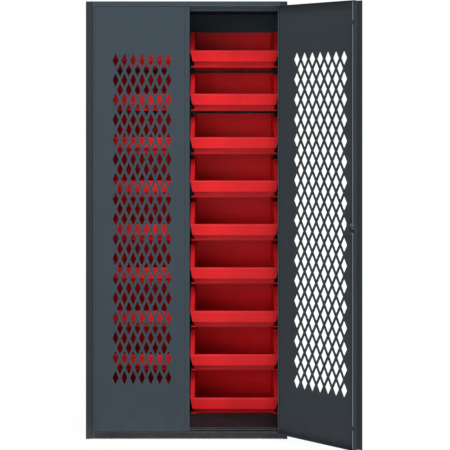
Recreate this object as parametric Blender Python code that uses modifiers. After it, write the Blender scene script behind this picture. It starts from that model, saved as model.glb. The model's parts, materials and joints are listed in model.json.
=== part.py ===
"""Steel bin storage cabinet with two perforated doors and eighteen hanging bins.

Frame: metres, +Z up, the doors close towards -Y and the wall is at +Y. The origin is
the middle of the footprint, on the underside of the channel below the floor panel.
The left door is closed and the right door stands open. Each door is modelled about
its hinge axis: w runs from the axis to the free edge, depth runs from the door's outer
face into the cabinet.
"""
import math

import bmesh
import bpy
from mathutils import Matrix, Vector

# Shell
cabinet_width = 0.9144
cabinet_depth = 0.6096
body_height = 1.9812
foot_height = 0.005
foot_width = 0.018
foot_length = 0.040
sheet = 0.0015
seat_gap = 0.0003
stile_width = 0.0358
frame_return = 0.032
stile_stop = 0.006
header_height = 0.022
header_stop = 0.0192
sill_height = 0.028
floor_height = 0.037
sill_foot = 0.020
stiffener_width = 0.080
stiffener_lip = 0.018

# Full length hinges
leaf_thickness = 0.0015
leaf_gap = 0.0004
leaf_depth = 0.028
door_leaf_depth = 0.006
knuckle_radius = 0.0029
knuckle_count = 15
knuckle_gap = 0.0006
pin_radius = 0.0013
pin_clearance = 0.0002

# Doors
door_depth = 0.030
hinge_flange_depth = 0.0075
door_gap = 0.0018
meeting_offset = 0.0061
meeting_gap = 0.0021
lip_width = 0.022
lip_gap = 0.002
lip_end_gap = 0.003
door_open_angle = math.radians(144.2)

# Diamond openings, which fill a field inside these margins on each door
openings_in_long_row = 7
long_rows = 17
field_hinge_margin = 0.0835
field_free_margin = 0.0607
field_end_margin = 0.2128
opening_width_share = 0.675
opening_height_share = 1.378

# Turn handle and three point latch
spindle_from_edge = 0.0475
spindle_radius = 0.005
spindle_clearance = 0.0004
spindle_end_depth = 0.0168
nut_radius = 0.0075
nut_thickness = 0.003
nut_sides = 6
plate_width = 0.040
plate_height = 0.110
plate_corner = 0.008
plate_thickness = 0.003
boss_radius = 0.011
boss_length = 0.032
grip_length = 0.084
grip_width = 0.014
grip_end_width = 0.010
grip_thickness = 0.012
grip_edge = 0.0015
lock_radius = 0.0055
lock_clearance = 0.0003
lock_depth = 0.012
keyway_width = 0.0012
keyway_height = 0.006
keyway_depth = 0.003
crank_depth = 0.010
crank_thickness = 0.0035
crank_radius = 0.014
crank_end = 0.005
crank_half_width = 0.006
crank_pin_radius = 0.0025
crank_pin_length = 0.0075
tongue_length = 0.042
tongue_clearance = 0.0012
rod_from_edge = 0.0355
rod_depth = 0.019
rod_radius = 0.004
rod_clearance = 0.0008
rod_setback = 0.0005
yoke_thickness = 0.003
yoke_wall = 0.003
yoke_side_play = 0.0004
yoke_lift_play = 0.0008
yoke_neck = 0.012
yoke_drop = 0.045
strike_clearance = 0.0025
guide_from_door_end = 0.094
guide_height = 0.018
guide_width = 0.024
guide_clearance = 0.0006
guide_sheet = 0.002

# Louvred hanging panel
bin_front_setback = 0.215
panel_setback = 0.0196
louvres_per_bin = 3
louvre_width_share = 0.24
louvre_pitch_share = 0.372
louvre_reach = 0.008
louvre_height = 0.014
panel_foot = 0.020
panel_side_margin = 0.016
panel_end_margin = 0.030

# Bins
bin_rows = 9
lowest_bin = 0.0385
room_over_bins = 0.0909
room_between_rows = 0.0287
column_gap = 0.0175
side_room = 0.02785
rim_reach = 0.017
rim_step = 0.001
lip_taper = 0.0115
lip_drop = 0.002
bin_wall = 0.0025
toe_setback = 0.018
toe_height = 0.030
lip_top = 0.078
lip_lean = 0.003
lip_thickness = 0.004
slope_run = 0.105
rim_thickness = 0.004
back_lean = 0.006
back_rise = 0.016
bin_foot_width = 0.022
bin_foot_overhang = 0.013
bin_foot_lift = 0.0005
bin_foot_height = 0.007
bin_foot_reach = 0.011
bin_foot_length = 0.036
hook_inset = 0.008
hook_below_top = 0.007
hook_tip = 0.0067

# Modelling aids
cut_overrun = 0.004
round_steps = 16
small_round_steps = 8
weld_distance = 0.00001

half_width = cabinet_width / 2
front = -cabinet_depth / 2
back = cabinet_depth / 2
top = foot_height + body_height
side_inner = half_width - sheet
soffit = top - header_height
sill_top = foot_height + sill_height
floor_top = foot_height + floor_height
stile_gap = 2 * (seat_gap + leaf_thickness) + leaf_gap
hinge_proud = knuckle_radius + seat_gap
axis_x = half_width - stile_width - stile_gap / 2
axis_y = front - hinge_proud
door_bottom = sill_top + door_gap
door_top = soffit - door_gap
door_middle = (door_bottom + door_top) / 2
pan_start = stile_gap / 2
right_reach = axis_x + meeting_offset
right_pan_end = right_reach - lip_width
left_pan_end = axis_x - meeting_offset - meeting_gap
left_reach = 2 * axis_x - right_pan_end - lip_end_gap
diagonal = math.sin(math.radians(45))
pin_reach = crank_radius * diagonal
spindle_w = right_reach - spindle_from_edge
rod_w = right_reach - rod_from_edge

field_width = left_pan_end - field_hinge_margin - field_free_margin
field_height = door_top - door_bottom - 2 * field_end_margin
opening_pitch = field_width / (openings_in_long_row - 1 + opening_width_share)
opening_width = opening_width_share * opening_pitch
row_pitch = field_height / (2 * long_rows - 2 + opening_height_share)
opening_height = opening_height_share * row_pitch
field_middle = field_hinge_margin + field_width / 2

panel_face = back - panel_setback
bin_length = panel_face - seat_gap - front - bin_front_setback
bin_back = bin_length - louvre_reach
bin_width = (2 * side_inner - 2 * side_room - column_gap) / 2
tub_width = bin_width - 2 * rim_reach
lip_low_width = bin_width - 2 * lip_taper
column_offset = (bin_width + column_gap) / 2
bins_low = foot_height + lowest_bin
bin_pitch = (soffit - room_over_bins - bins_low + room_between_rows) / bin_rows
bin_height = bin_pitch - room_between_rows
hook_width = tub_width - 2 * hook_inset
louvre_width = louvre_width_share * tub_width
louvre_pitch = louvre_pitch_share * tub_width


def collection(name):
    made = bpy.data.collections.new(name)
    bpy.context.scene.collection.children.link(made)
    return made


def srgb(red, green, blue):
    """Turn a colour of 0 to 255 steps into linear light."""
    return [((step / 255 + 0.055) / 1.055) ** 2.4 for step in (red, green, blue)] + [1.0]


def finish(name, color, roughness, metallic):
    material = bpy.data.materials.new(name)
    material.use_nodes = True
    shader = material.node_tree.nodes["Principled BSDF"]
    shader.inputs["Base Color"].default_value = color
    shader.inputs["Roughness"].default_value = roughness
    shader.inputs["Metallic"].default_value = metallic
    return material


def place(obj, material=None, parent=None, name=None):
    """Put a finished piece, or a cutter when no material is given, where it belongs."""
    for home in list(obj.users_collection):
        home.objects.unlink(obj)
    if material is None:
        cutters.objects.link(obj)
        obj.hide_render = True
        obj.display_type = "WIRE"
    else:
        parts.objects.link(obj)
        obj.name = name
        obj.data.materials.clear()
        obj.data.materials.append(material)
    obj.parent = parent
    return obj


def frozen(obj):
    """Turn an object and the pieces joined to or cut from it into one plain mesh object."""
    bpy.context.view_layer.update()
    shown = obj.evaluated_get(bpy.context.evaluated_depsgraph_get())
    mesh = bpy.data.meshes.new_from_object(shown)
    work = bmesh.new()
    work.from_mesh(mesh)
    bmesh.ops.remove_doubles(work, verts=work.verts, dist=weld_distance)
    work.to_mesh(mesh)
    work.free()
    plain = bpy.data.objects.new(obj.name, mesh)
    plain.matrix_world = obj.matrix_world
    bpy.context.scene.collection.objects.link(plain)
    for modifier in obj.modifiers:
        if modifier.type == "BOOLEAN":
            bpy.data.objects.remove(modifier.object)
    bpy.data.objects.remove(obj)
    return plain


def joined(pieces):
    """Gather pieces that stay clear of each other in one mesh object."""
    bpy.context.view_layer.update()
    work = bmesh.new()
    for piece in pieces:
        piece.data.transform(piece.matrix_world)
        work.from_mesh(piece.data)
        bpy.data.objects.remove(piece)
    mesh = bpy.data.meshes.new("group")
    work.to_mesh(mesh)
    work.free()
    group = bpy.data.objects.new("group", mesh)
    bpy.context.scene.collection.objects.link(group)
    return group


def extrusion(loops, length, axis, middle):
    """Extrude closed outlines along an axis; any loop inside another is an opening.

    Points are (y, z) for axis X, (x, z) for axis Y and (x, y) for axis Z.
    """
    turns = {"X": (math.pi / 2, 0, math.pi / 2), "Y": (math.pi / 2, 0, 0), "Z": (0, 0, 0)}
    curve = bpy.data.curves.new("outline", "CURVE")
    curve.dimensions = "2D"
    curve.fill_mode = "BOTH"
    curve.extrude = length / 2
    for loop in loops:
        spline = curve.splines.new("POLY")
        spline.points.add(len(loop) - 1)
        spline.use_cyclic_u = True
        for point, (along, up) in zip(spline.points, loop):
            point.co = (along, up, 0, 1)
    obj = bpy.data.objects.new("outline", curve)
    obj.rotation_euler = turns[axis]
    obj.location["XYZ".index(axis)] = middle
    bpy.context.scene.collection.objects.link(obj)
    return frozen(obj)


def box(low, high):
    bpy.ops.mesh.primitive_cube_add(size=1)
    cube = bpy.context.active_object
    low, high = Vector(low), Vector(high)
    cube.data.transform(Matrix.LocRotScale((low + high) / 2, None, high - low))
    return cube


def cylinder(radius, length, axis, middle, steps=round_steps):
    turns = {"X": (0, math.pi / 2, 0), "Y": (math.pi / 2, 0, 0), "Z": (0, 0, 0)}
    bpy.ops.mesh.primitive_cylinder_add(vertices=steps, radius=radius, depth=length)
    made = bpy.context.active_object
    made.rotation_euler = turns[axis]
    made.location = middle
    made.data.shade_smooth()
    made.data.set_sharp_from_angle(angle=math.radians(40))
    return made


def combine(obj, other, operation):
    place(other)
    modifier = obj.modifiers.new(operation.lower(), "BOOLEAN")
    modifier.operation = operation
    modifier.object = other
    modifier.solver = "EXACT"
    return obj


def rectangle(low, high):
    return [(low[0], low[1]), (high[0], low[1]), (high[0], high[1]), (low[0], high[1])]


def circle(centre, radius, steps=small_round_steps):
    turn = 2 * math.pi / steps
    return [(centre[0] + radius * math.cos(turn * step), centre[1] + radius * math.sin(turn * step))
            for step in range(steps)]


def mirrored(points, side):
    """Reflect outline points for the side of the cabinet: -1 left, 1 right."""
    return [(side * across, other) for across, other in points]


def shell_pieces():
    """Side, top, back and floor panels with the channel and pads below the floor."""
    under_top = top - sheet - seat_gap
    behind_face = front + sheet + seat_gap
    before_back = back - sheet - seat_gap
    for side, name in ((-1, "left"), (1, "right")):
        inner, outer = sorted((side * side_inner, side * half_width))
        panel = box((inner, behind_face, foot_height), (outer, before_back, under_top))
        place(panel, paint, name=name + "_side_panel")
        reach = sorted((side * half_width, side * (half_width - foot_width)))
        ends = {"front": (front, front + foot_length), "back": (back - foot_length, back)}
        for end, (near, far) in ends.items():
            pad = box((reach[0], near, 0), (reach[1], far, foot_height - seat_gap))
            place(pad, paint, name=f"{end}_{name}_foot")
    place(box((-half_width, front, top - sheet), (half_width, back, top)), paint, name="top_panel")
    rear = box((-half_width, back - sheet, foot_height), (half_width, back, under_top))
    place(rear, paint, name="back_panel")
    floor_edge = side_inner - seat_gap
    floor_front = front + frame_return + sheet + seat_gap
    floor = box((-floor_edge, floor_front, floor_top - sheet), (floor_edge, before_back, floor_top))
    place(floor, paint, name="floor_panel")
    lift = floor_top - sheet - seat_gap
    half = stiffener_width / 2
    hat = [(-half, 0), (half, 0), (half, lift - sheet), (half + stiffener_lip, lift - sheet),
           (half + stiffener_lip, lift), (half - sheet, lift), (half - sheet, sheet)]
    hat += [(-along, up) for along, up in reversed(hat[2:])]
    channel = extrusion([hat], 2 * floor_edge, "X", 0)
    place(channel, paint, name="floor_channel")


def front_frame():
    """Stiles, header and sill, each with the stop that the doors close against."""
    foot = foot_height
    length = top - sheet - seat_gap - foot
    outer = half_width
    face = half_width - stile_width
    stop = face - stile_stop
    stop_end = soffit - header_stop
    deep = front + frame_return
    profile = [(outer, front), (face, front), (face, deep), (stop, deep), (stop, deep + sheet),
               (face + sheet, deep + sheet), (face + sheet, front + sheet), (outer, front + sheet)]
    for side, name in ((-1, "left"), (1, "right")):
        stile = extrusion([mirrored(profile, side)], length, "Z", foot + length / 2)
        edges = sorted((side * (stop - cut_overrun), side * face))
        for low, high in ((foot - cut_overrun, floor_top + seat_gap),
                          (stop_end - seat_gap, top + cut_overrun)):
            notch = box((edges[0], deep - cut_overrun, low), (edges[1], deep + cut_overrun, high))
            combine(stile, notch, "DIFFERENCE")
        place(frozen(stile), paint, name=name + "_front_stile")
    under_top = top - sheet - seat_gap
    header = [(front, under_top), (front, soffit), (deep, soffit), (deep, stop_end),
              (deep + sheet, stop_end), (deep + sheet, soffit + sheet),
              (front + sheet, soffit + sheet), (front + sheet, under_top)]
    sill = [(front, foot), (front + sill_foot, foot), (front + sill_foot, foot + sheet),
            (front + sheet, foot + sheet), (front + sheet, sill_top - sheet),
            (deep + sheet, sill_top - sheet), (deep + sheet, floor_top), (deep, floor_top),
            (deep, sill_top), (front, sill_top)]
    span = 2 * (face - seat_gap)
    hole_radius = rod_radius + strike_clearance
    hole_place = (axis_x - rod_w, front + rod_depth)
    for profile, level, name in ((header, soffit, "front_header"), (sill, sill_top, "front_sill")):
        rail = extrusion([profile], span, "X", 0)
        cutter = cylinder(hole_radius, 2 * cut_overrun, "Z", (*hole_place, level))
        place(combine(rail, cutter, "DIFFERENCE"), paint, name=name)


def louvre_panel():
    """A flanged sheet with pressed louvres that the bins hang on."""
    width = column_offset + bin_width / 2 + panel_side_margin
    low = floor_top + seat_gap
    high = soffit - room_over_bins + panel_end_margin
    rear = back - sheet - seat_gap
    outer = [(width, panel_face), (width, rear), (width - panel_foot, rear),
             (width - panel_foot, rear - sheet), (width - sheet, rear - sheet),
             (width - sheet, panel_face + sheet)]
    profile = outer + [(-across, along) for across, along in reversed(outer)]
    panel = extrusion([profile], high - low, "Z", (low + high) / 2)
    root = sheet / 2
    strip = [(panel_face + root, 0), (panel_face + root, -sheet), (panel_face - sheet, -sheet),
             (panel_face - louvre_reach, louvre_height),
             (panel_face - louvre_reach + sheet, louvre_height)]
    louvre_lift = bin_height - hook_below_top - bin_wall - seat_gap - louvre_height
    louvres = []
    for row in range(bin_rows):
        level = bins_low + row * bin_pitch + louvre_lift
        for column in (-1, 1):
            for place_in_row in range(louvres_per_bin):
                shift = (place_in_row - (louvres_per_bin - 1) / 2) * louvre_pitch
                outline = [(along, up + level) for along, up in strip]
                louvres.append(extrusion([outline], louvre_width, "X", column * column_offset + shift))
    combine(panel, joined(louvres), "UNION")
    place(frozen(panel), paint, name="louvre_panel")


def hinge(side, name, pivot):
    """A full length hinge: frame leaf, door leaf and the pin through their knuckles."""
    length = door_top - door_bottom
    step = length / knuckle_count
    bore = pin_radius + pin_clearance
    near = hinge_proud
    inner = leaf_gap / 2
    ring = circle((0, 0), knuckle_radius)
    hole = circle((0, 0), bore)
    for owner, first, hand, depth, parent in (("frame", 0, -1, leaf_depth, None),
                                              ("door", 1, 1, door_leaf_depth, pivot)):
        # Outline points are (across, along) from the axis; hand points at the owner's leaf.
        reach = [(hand * inner, near), (hand * (inner + leaf_thickness), near),
                 (hand * (inner + leaf_thickness), near + depth), (hand * inner, near + depth)]
        turn = -side
        leaf = extrusion([mirrored(reach, turn)], length, "Z", door_bottom + length / 2)
        tab = [(hand * inner, bore), (hand * (inner + leaf_thickness), bore),
               (hand * (inner + leaf_thickness), near + leaf_thickness),
               (hand * inner, near + leaf_thickness)]
        barrels, lugs = [], []
        for knuckle in range(first, knuckle_count, 2):
            middle = door_bottom + (knuckle + 0.5) * step
            barrels.append(extrusion([ring, hole], step - knuckle_gap, "Z", middle))
            lugs.append(extrusion([mirrored(tab, turn)], step - knuckle_gap, "Z", middle))
        combine(leaf, joined(lugs), "UNION")
        combine(leaf, joined(barrels), "UNION")
        leaf = place(frozen(leaf), steel, name=f"{name}_hinge_{owner}_leaf")
        if parent is None:
            leaf.location.xy = (side * axis_x, axis_y)
        else:
            leaf.parent = parent
    pin = cylinder(pin_radius, length, "Z", (side * axis_x, axis_y, door_bottom + length / 2),
                   small_round_steps)
    place(pin, steel, name=f"{name}_hinge_pin")


def diamonds():
    """Outlines of the openings: long rows with shorter staggered rows between them."""
    loops = []
    rows = 2 * long_rows - 1
    for row in range(rows):
        count = openings_in_long_row - row % 2
        up = door_middle + (row - (rows - 1) / 2) * row_pitch
        for place_in_row in range(count):
            across = field_middle + (place_in_row - (count - 1) / 2) * opening_pitch
            loops.append([(across - opening_width / 2, up), (across, up - opening_height / 2),
                          (across + opening_width / 2, up), (across, up + opening_height / 2)])
    return loops


def door_skin(side, reach, extra_loops=()):
    """The perforated face sheet; a point's x is w on the left door and -w on the right."""
    loops = [rectangle((pan_start, door_bottom), (reach, door_top))] + diamonds() + list(extra_loops)
    return extrusion([mirrored(loop, -side) for loop in loops], sheet, "Y", hinge_proud + sheet / 2)


def door_frame(side, pan_end):
    """The flange that is welded all round behind the face sheet, shallow along the hinge."""
    outer = rectangle((pan_start, door_bottom), (pan_end, door_top))
    inner = rectangle((pan_start + sheet, door_bottom + sheet), (pan_end - sheet, door_top - sheet))
    start = hinge_proud + sheet + seat_gap
    end = hinge_proud + door_depth
    frame = extrusion([mirrored(outer, -side), mirrored(inner, -side)], end - start, "Y",
                      (start + end) / 2)
    near, far = sorted((side * (cut_overrun - pan_start), -side * (pan_start + cut_overrun)))
    relief = box((near, hinge_proud + hinge_flange_depth, door_bottom + 2 * sheet),
                 (far, end + cut_overrun, door_top - 2 * sheet))
    return combine(frame, relief, "DIFFERENCE")


def left_door(pivot):
    """The door that closes first; its free edge carries the recessed meeting strip."""
    place(door_skin(-1, left_pan_end), paint, pivot, "left_door_skin")
    place(frozen(door_frame(-1, left_pan_end)), paint, pivot, "left_door_frame")
    depth = hinge_proud + sheet + lip_gap
    strip = box((left_pan_end + seat_gap, depth, door_bottom), (left_reach, depth + sheet, door_top))
    place(strip, paint, pivot, "meeting_strip")


def right_door(pivot):
    """The door with the latch; its skin runs past the flange and laps the other door."""
    hole = circle((spindle_w, door_middle), spindle_radius + spindle_clearance, round_steps)
    place(door_skin(1, right_reach, [hole]), paint, pivot, "right_door_skin")
    frame = door_frame(1, right_pan_end)
    rod_hole = rod_radius + rod_clearance
    for level in (door_bottom, door_top):
        cutter = cylinder(rod_hole, 2 * cut_overrun, "Z",
                          (-rod_w, hinge_proud + rod_depth, level))
        combine(frame, cutter, "DIFFERENCE")
    slot = box((-right_pan_end - cut_overrun, hinge_proud + crank_depth - tongue_clearance,
                door_middle - tongue_length),
               (-right_pan_end + cut_overrun,
                hinge_proud + crank_depth + crank_thickness + tongue_clearance,
                door_middle + crank_half_width + tongue_clearance))
    combine(frame, slot, "DIFFERENCE")
    place(frozen(frame), paint, pivot, "right_door_frame")


def rod_guides(pivot):
    """Saddles on the door's skin that hold the rods near their tips."""
    low = hinge_proud + sheet + seat_gap
    inner = rod_radius + guide_clearance
    high = hinge_proud + rod_depth + inner
    outer = inner + guide_sheet
    half = guide_width / 2
    saddle = [(-half, low), (-inner, low), (-inner, high), (inner, high), (inner, low), (half, low),
              (half, low + guide_sheet), (outer, low + guide_sheet), (outer, high + guide_sheet),
              (-outer, high + guide_sheet), (-outer, low + guide_sheet), (-half, low + guide_sheet)]
    outline = [(across - rod_w, along) for across, along in saddle]
    for name, level in (("upper", door_top - guide_from_door_end),
                        ("lower", door_bottom + guide_from_door_end)):
        guide = extrusion([outline], guide_height, "Z", level)
        place(guide, paint, pivot, name + "_rod_guide")


def crank_outline():
    """Outline of the crank in its latched turn: pins on a bar at 45 degrees, tongue along +w."""
    slant = diagonal
    half = crank_half_width
    end = crank_radius + crank_end
    return [(tongue_length, -half), (tongue_length, half), (half + 2 * half * slant, half),
            ((end + half) * slant, (end - half) * slant), ((end - half) * slant, (end + half) * slant),
            (-(end + half) * slant, -(end - half) * slant),
            (-(end - half) * slant, -(end + half) * slant), (2 * half * slant - half, -half)]


def latch(pivot):
    """Handle, spindle, crank, rods and lock, drawn with the rods drawn back."""
    centre_x, centre_z = -spindle_w, door_middle
    plate_outer = hinge_proud - seat_gap - plate_thickness
    boss_inner = plate_outer - seat_gap
    boss_outer = boss_inner - boss_length
    half_w, half_h = plate_width / 2, plate_height / 2
    corner = plate_corner
    shape = [(-half_w, -half_h + corner), (-half_w + corner, -half_h), (half_w - corner, -half_h),
             (half_w, -half_h + corner), (half_w, half_h - corner), (half_w - corner, half_h),
             (-half_w + corner, half_h), (-half_w, half_h - corner)]
    outline = [(centre_x + across, centre_z + up) for across, up in shape]
    hole = circle((centre_x, centre_z), spindle_radius + spindle_clearance, round_steps)
    plate = extrusion([outline, hole], plate_thickness, "Y", plate_outer + plate_thickness / 2)
    place(plate, black, pivot, "handle_plate")

    turning = bpy.data.objects.new("handle_axis", None)
    parts.objects.link(turning)
    turning.parent = pivot
    turning.location = (centre_x, 0, centre_z)

    boss = cylinder(boss_radius, boss_length, "Y", (0, (boss_inner + boss_outer) / 2, 0))
    half_grip = grip_length / 2
    taper = [(-grip_width / 2, 0), (-grip_end_width / 2, -half_grip), (grip_end_width / 2, -half_grip),
             (grip_width / 2, 0), (grip_end_width / 2, half_grip), (-grip_end_width / 2, half_grip)]
    bar = extrusion([taper], grip_thickness, "Y", boss_outer + seat_gap + grip_thickness / 2)
    soft = bar.modifiers.new("edges", "BEVEL")
    soft.width = grip_edge
    soft.segments = 1
    combine(boss, bar, "UNION")
    bore = cylinder(lock_radius + lock_clearance, 2 * lock_depth, "Y", (0, boss_outer, 0))
    combine(boss, bore, "DIFFERENCE")
    place(frozen(boss), black, turning, "handle_grip")

    lock_length = lock_depth - seat_gap
    lock = cylinder(lock_radius, lock_length, "Y", (0, boss_outer + lock_length / 2, 0))
    keyway = box((-keyway_width / 2, boss_outer - cut_overrun, -keyway_height / 2),
                 (keyway_width / 2, boss_outer + keyway_depth, keyway_height / 2))
    combine(lock, keyway, "DIFFERENCE")
    place(frozen(lock), zinc, turning, "lock_cylinder")

    shaft_start = boss_inner + seat_gap
    shaft_end = hinge_proud + spindle_end_depth
    spindle = cylinder(spindle_radius, shaft_end - shaft_start, "Y",
                       (0, (shaft_start + shaft_end) / 2, 0))
    nut = cylinder(nut_radius, nut_thickness, "Y", (0, shaft_end - nut_thickness / 2, 0), nut_sides)
    combine(spindle, nut, "UNION")
    place(frozen(spindle), zinc, turning, "handle_spindle")

    crank_middle = hinge_proud + crank_depth + crank_thickness / 2
    # Turned back a quarter: the tongue points down and the pins lie across the other diagonal.
    shape = [(-up, -across) for across, up in crank_outline()]
    hole = circle((0, 0), spindle_radius + seat_gap, round_steps)
    crank = extrusion([shape, hole], crank_thickness, "Y", crank_middle)
    pin_root = crank_middle
    pin_tip = hinge_proud + crank_depth + crank_thickness + crank_pin_length
    for side in (-1, 1):
        pin = cylinder(crank_pin_radius, pin_tip - pin_root, "Y",
                       (side * pin_reach, (pin_root + pin_tip) / 2, side * pin_reach))
        combine(crank, pin, "UNION")
    place(frozen(crank), paint, turning, "latch_crank")
    rods(pivot, centre_x, centre_z)


def rods(pivot, centre_x, centre_z):
    """Upper and lower rod, each with a slotted yoke over one crank pin."""
    slot_inner = pin_reach - crank_pin_radius - yoke_side_play
    slot_outer = crank_radius + crank_pin_radius + yoke_side_play
    half_slot = crank_pin_radius + yoke_lift_play
    half_yoke = half_slot + yoke_wall
    depth = hinge_proud + rod_depth
    rod_x = -rod_w

    # The upper rod takes the pin on the free edge's side, which rests low.
    pin_z = centre_z - pin_reach
    low_x, high_x = centre_x - slot_outer, centre_x - slot_inner
    slot = rectangle((low_x, pin_z - half_slot), (high_x, pin_z + half_slot))
    neck_top = pin_z + half_yoke + yoke_neck
    outline = rectangle((low_x - yoke_wall, pin_z - half_yoke), (high_x + yoke_wall, neck_top))
    yoke = extrusion([outline, slot], yoke_thickness, "Y", depth)
    start, end = pin_z + half_yoke, door_top - rod_setback
    rod = cylinder(rod_radius, end - start, "Z", (rod_x, depth, (start + end) / 2))
    combine(rod, yoke, "UNION")
    place(frozen(rod), zinc, pivot, "upper_rod")

    # The lower rod takes the other pin, which rests high, with an arm back to its own line.
    pin_z = centre_z + pin_reach
    low_x, high_x = centre_x + slot_inner, centre_x + slot_outer
    slot = rectangle((low_x, pin_z - half_slot), (high_x, pin_z + half_slot))
    arm_low = centre_z - yoke_drop
    arm_high = arm_low + yoke_neck
    near, far = low_x - yoke_wall, high_x + yoke_wall
    tail = rod_x - rod_radius
    outline = [(near, pin_z + half_yoke), (near, arm_high), (tail, arm_high), (tail, arm_low),
               (far, arm_low), (far, pin_z + half_yoke)]
    yoke = extrusion([outline, slot], yoke_thickness, "Y", depth)
    start, end = door_bottom + rod_setback, arm_high - yoke_wall
    rod = cylinder(rod_radius, end - start, "Z", (rod_x, depth, (start + end) / 2))
    combine(rod, yoke, "UNION")
    place(frozen(rod), zinc, pivot, "lower_rod")


def bin_mesh():
    """One hanging bin about its front bottom middle: hopper front, rim, raised back, feet, hook."""
    tub_top = bin_height - rim_thickness / 2
    tub_back = bin_back - rim_step
    tub = [(toe_setback, 0), (toe_setback, toe_height), (lip_thickness / 2, toe_height),
           (lip_thickness - lip_lean, lip_top - rim_thickness / 2), (slope_run, tub_top),
           (tub_back, tub_top), (tub_back - back_lean, 0)]
    body = extrusion([tub], tub_width, "X", 0)
    under_rim = bin_height - rim_thickness
    rim = [(0, lip_top), (slope_run, bin_height), (bin_back, bin_height), (bin_back, under_rim),
           (slope_run + rim_thickness / 2, under_rim), (rim_thickness / 2, lip_top - rim_thickness)]
    combine(body, extrusion([rim], bin_width, "X", 0), "UNION")
    raised = box((rim_step - bin_width / 2, tub_back - bin_wall / 2, tub_top),
                 (bin_width / 2 - rim_step, tub_back + rim_step / 2, bin_height + back_rise))
    combine(body, raised, "UNION")
    half_top, half_low = bin_width / 2 - rim_step, lip_low_width / 2
    lip_low, lip_turn, lip_high = toe_height - lip_drop, lip_top - rim_thickness, lip_top - rim_step
    front_shape = [(-half_low, lip_low), (half_low, lip_low), (half_top, lip_turn),
                   (half_top, lip_high), (-half_top, lip_high), (-half_top, lip_turn)]
    combine(body, extrusion([front_shape], lip_thickness, "Y", lip_thickness / 2), "UNION")
    for side in (-1, 1):
        foot_outer = tub_width / 2 + bin_foot_overhang
        inner, outer = sorted((side * (foot_outer - bin_foot_width), side * foot_outer))
        foot = box((inner, toe_setback - bin_foot_reach, bin_foot_lift),
                   (outer, toe_setback - bin_foot_reach + bin_foot_length, bin_foot_height))
        combine(body, foot, "UNION")
    under = bin_height - hook_below_top - bin_wall
    root = tub_back - bin_wall / 2
    hook = [(root, under), (bin_length - bin_wall, under),
            (bin_length - bin_wall, under - hook_tip), (bin_length, under - hook_tip),
            (bin_length, under + bin_wall), (root, under + bin_wall)]
    combine(body, extrusion([hook], hook_width, "X", 0), "UNION")
    wall = bin_wall
    high = bin_height + cut_overrun
    hollow = [(toe_setback + wall, wall), (toe_setback + wall, toe_height + wall),
              (lip_thickness + wall, toe_height + wall), (lip_thickness, lip_top + cut_overrun),
              (lip_thickness, high), (tub_back - wall, high), (tub_back - back_lean - wall, wall)]
    combine(body, extrusion([hollow], tub_width - 2 * wall, "X", 0), "DIFFERENCE")
    plain = frozen(body)
    mesh = plain.data
    mesh.transform(plain.matrix_world)
    bpy.data.objects.remove(plain)
    return mesh


def bins():
    """Two columns of the same bin, counted from the lowest."""
    mesh = bin_mesh()
    for side, name in ((-1, "left"), (1, "right")):
        for row in range(bin_rows):
            obj = bpy.data.objects.new("bin", mesh)
            obj.location = (side * column_offset, front + bin_front_setback,
                            bins_low + row * bin_pitch)
            place(obj, plastic, name=f"bin_{name}_{row + 1}")


def pivot_empty(name, side, angle):
    pivot = bpy.data.objects.new(name, None)
    parts.objects.link(pivot)
    pivot.location = (side * axis_x, axis_y, 0)
    pivot.rotation_euler.z = angle
    return pivot


for old in list(bpy.data.objects):
    bpy.data.objects.remove(old)
parts = collection("bin_storage_cabinet")
cutters = collection("cutters")

paint = finish("grey_paint", srgb(68, 77, 82), 0.5, 0.0)
steel = finish("painted_hinge", srgb(74, 84, 92), 0.45, 0.3)
zinc = finish("zinc_plate", srgb(132, 138, 144), 0.4, 0.9)
black = finish("black_casting", srgb(38, 41, 44), 0.45, 0.2)
plastic = finish("red_plastic", srgb(212, 40, 45), 0.4, 0.0)

shell_pieces()
front_frame()
louvre_panel()
left_pivot = pivot_empty("left_door_axis", -1, 0)
right_pivot = pivot_empty("right_door_axis", 1, door_open_angle)
hinge(-1, "left", left_pivot)
hinge(1, "right", right_pivot)
left_door(left_pivot)
right_door(right_pivot)
rod_guides(right_pivot)
latch(right_pivot)
bins()
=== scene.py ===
# %% [markdown]
# # A steel cabinet with eighteen red bins
#
# The real cabinet is folded sheet steel: a shell, a front frame with stops, two doors with
# punched diamonds, full length hinges, a turn handle that throws two rods, and two columns
# of moulded hopper bins hung on a louvred panel. The CAD model already has every part in
# its right place, so this lesson loads it as a fixed frame and dresses it: some parts keep
# their CAD shape and get a finish, others get a finer mesh that stands in the same place.

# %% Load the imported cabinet
import json
import math

import bmesh
import bpy
from mathutils import Matrix, Vector
from mathutils.geometry import tessellate_polygon


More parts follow.
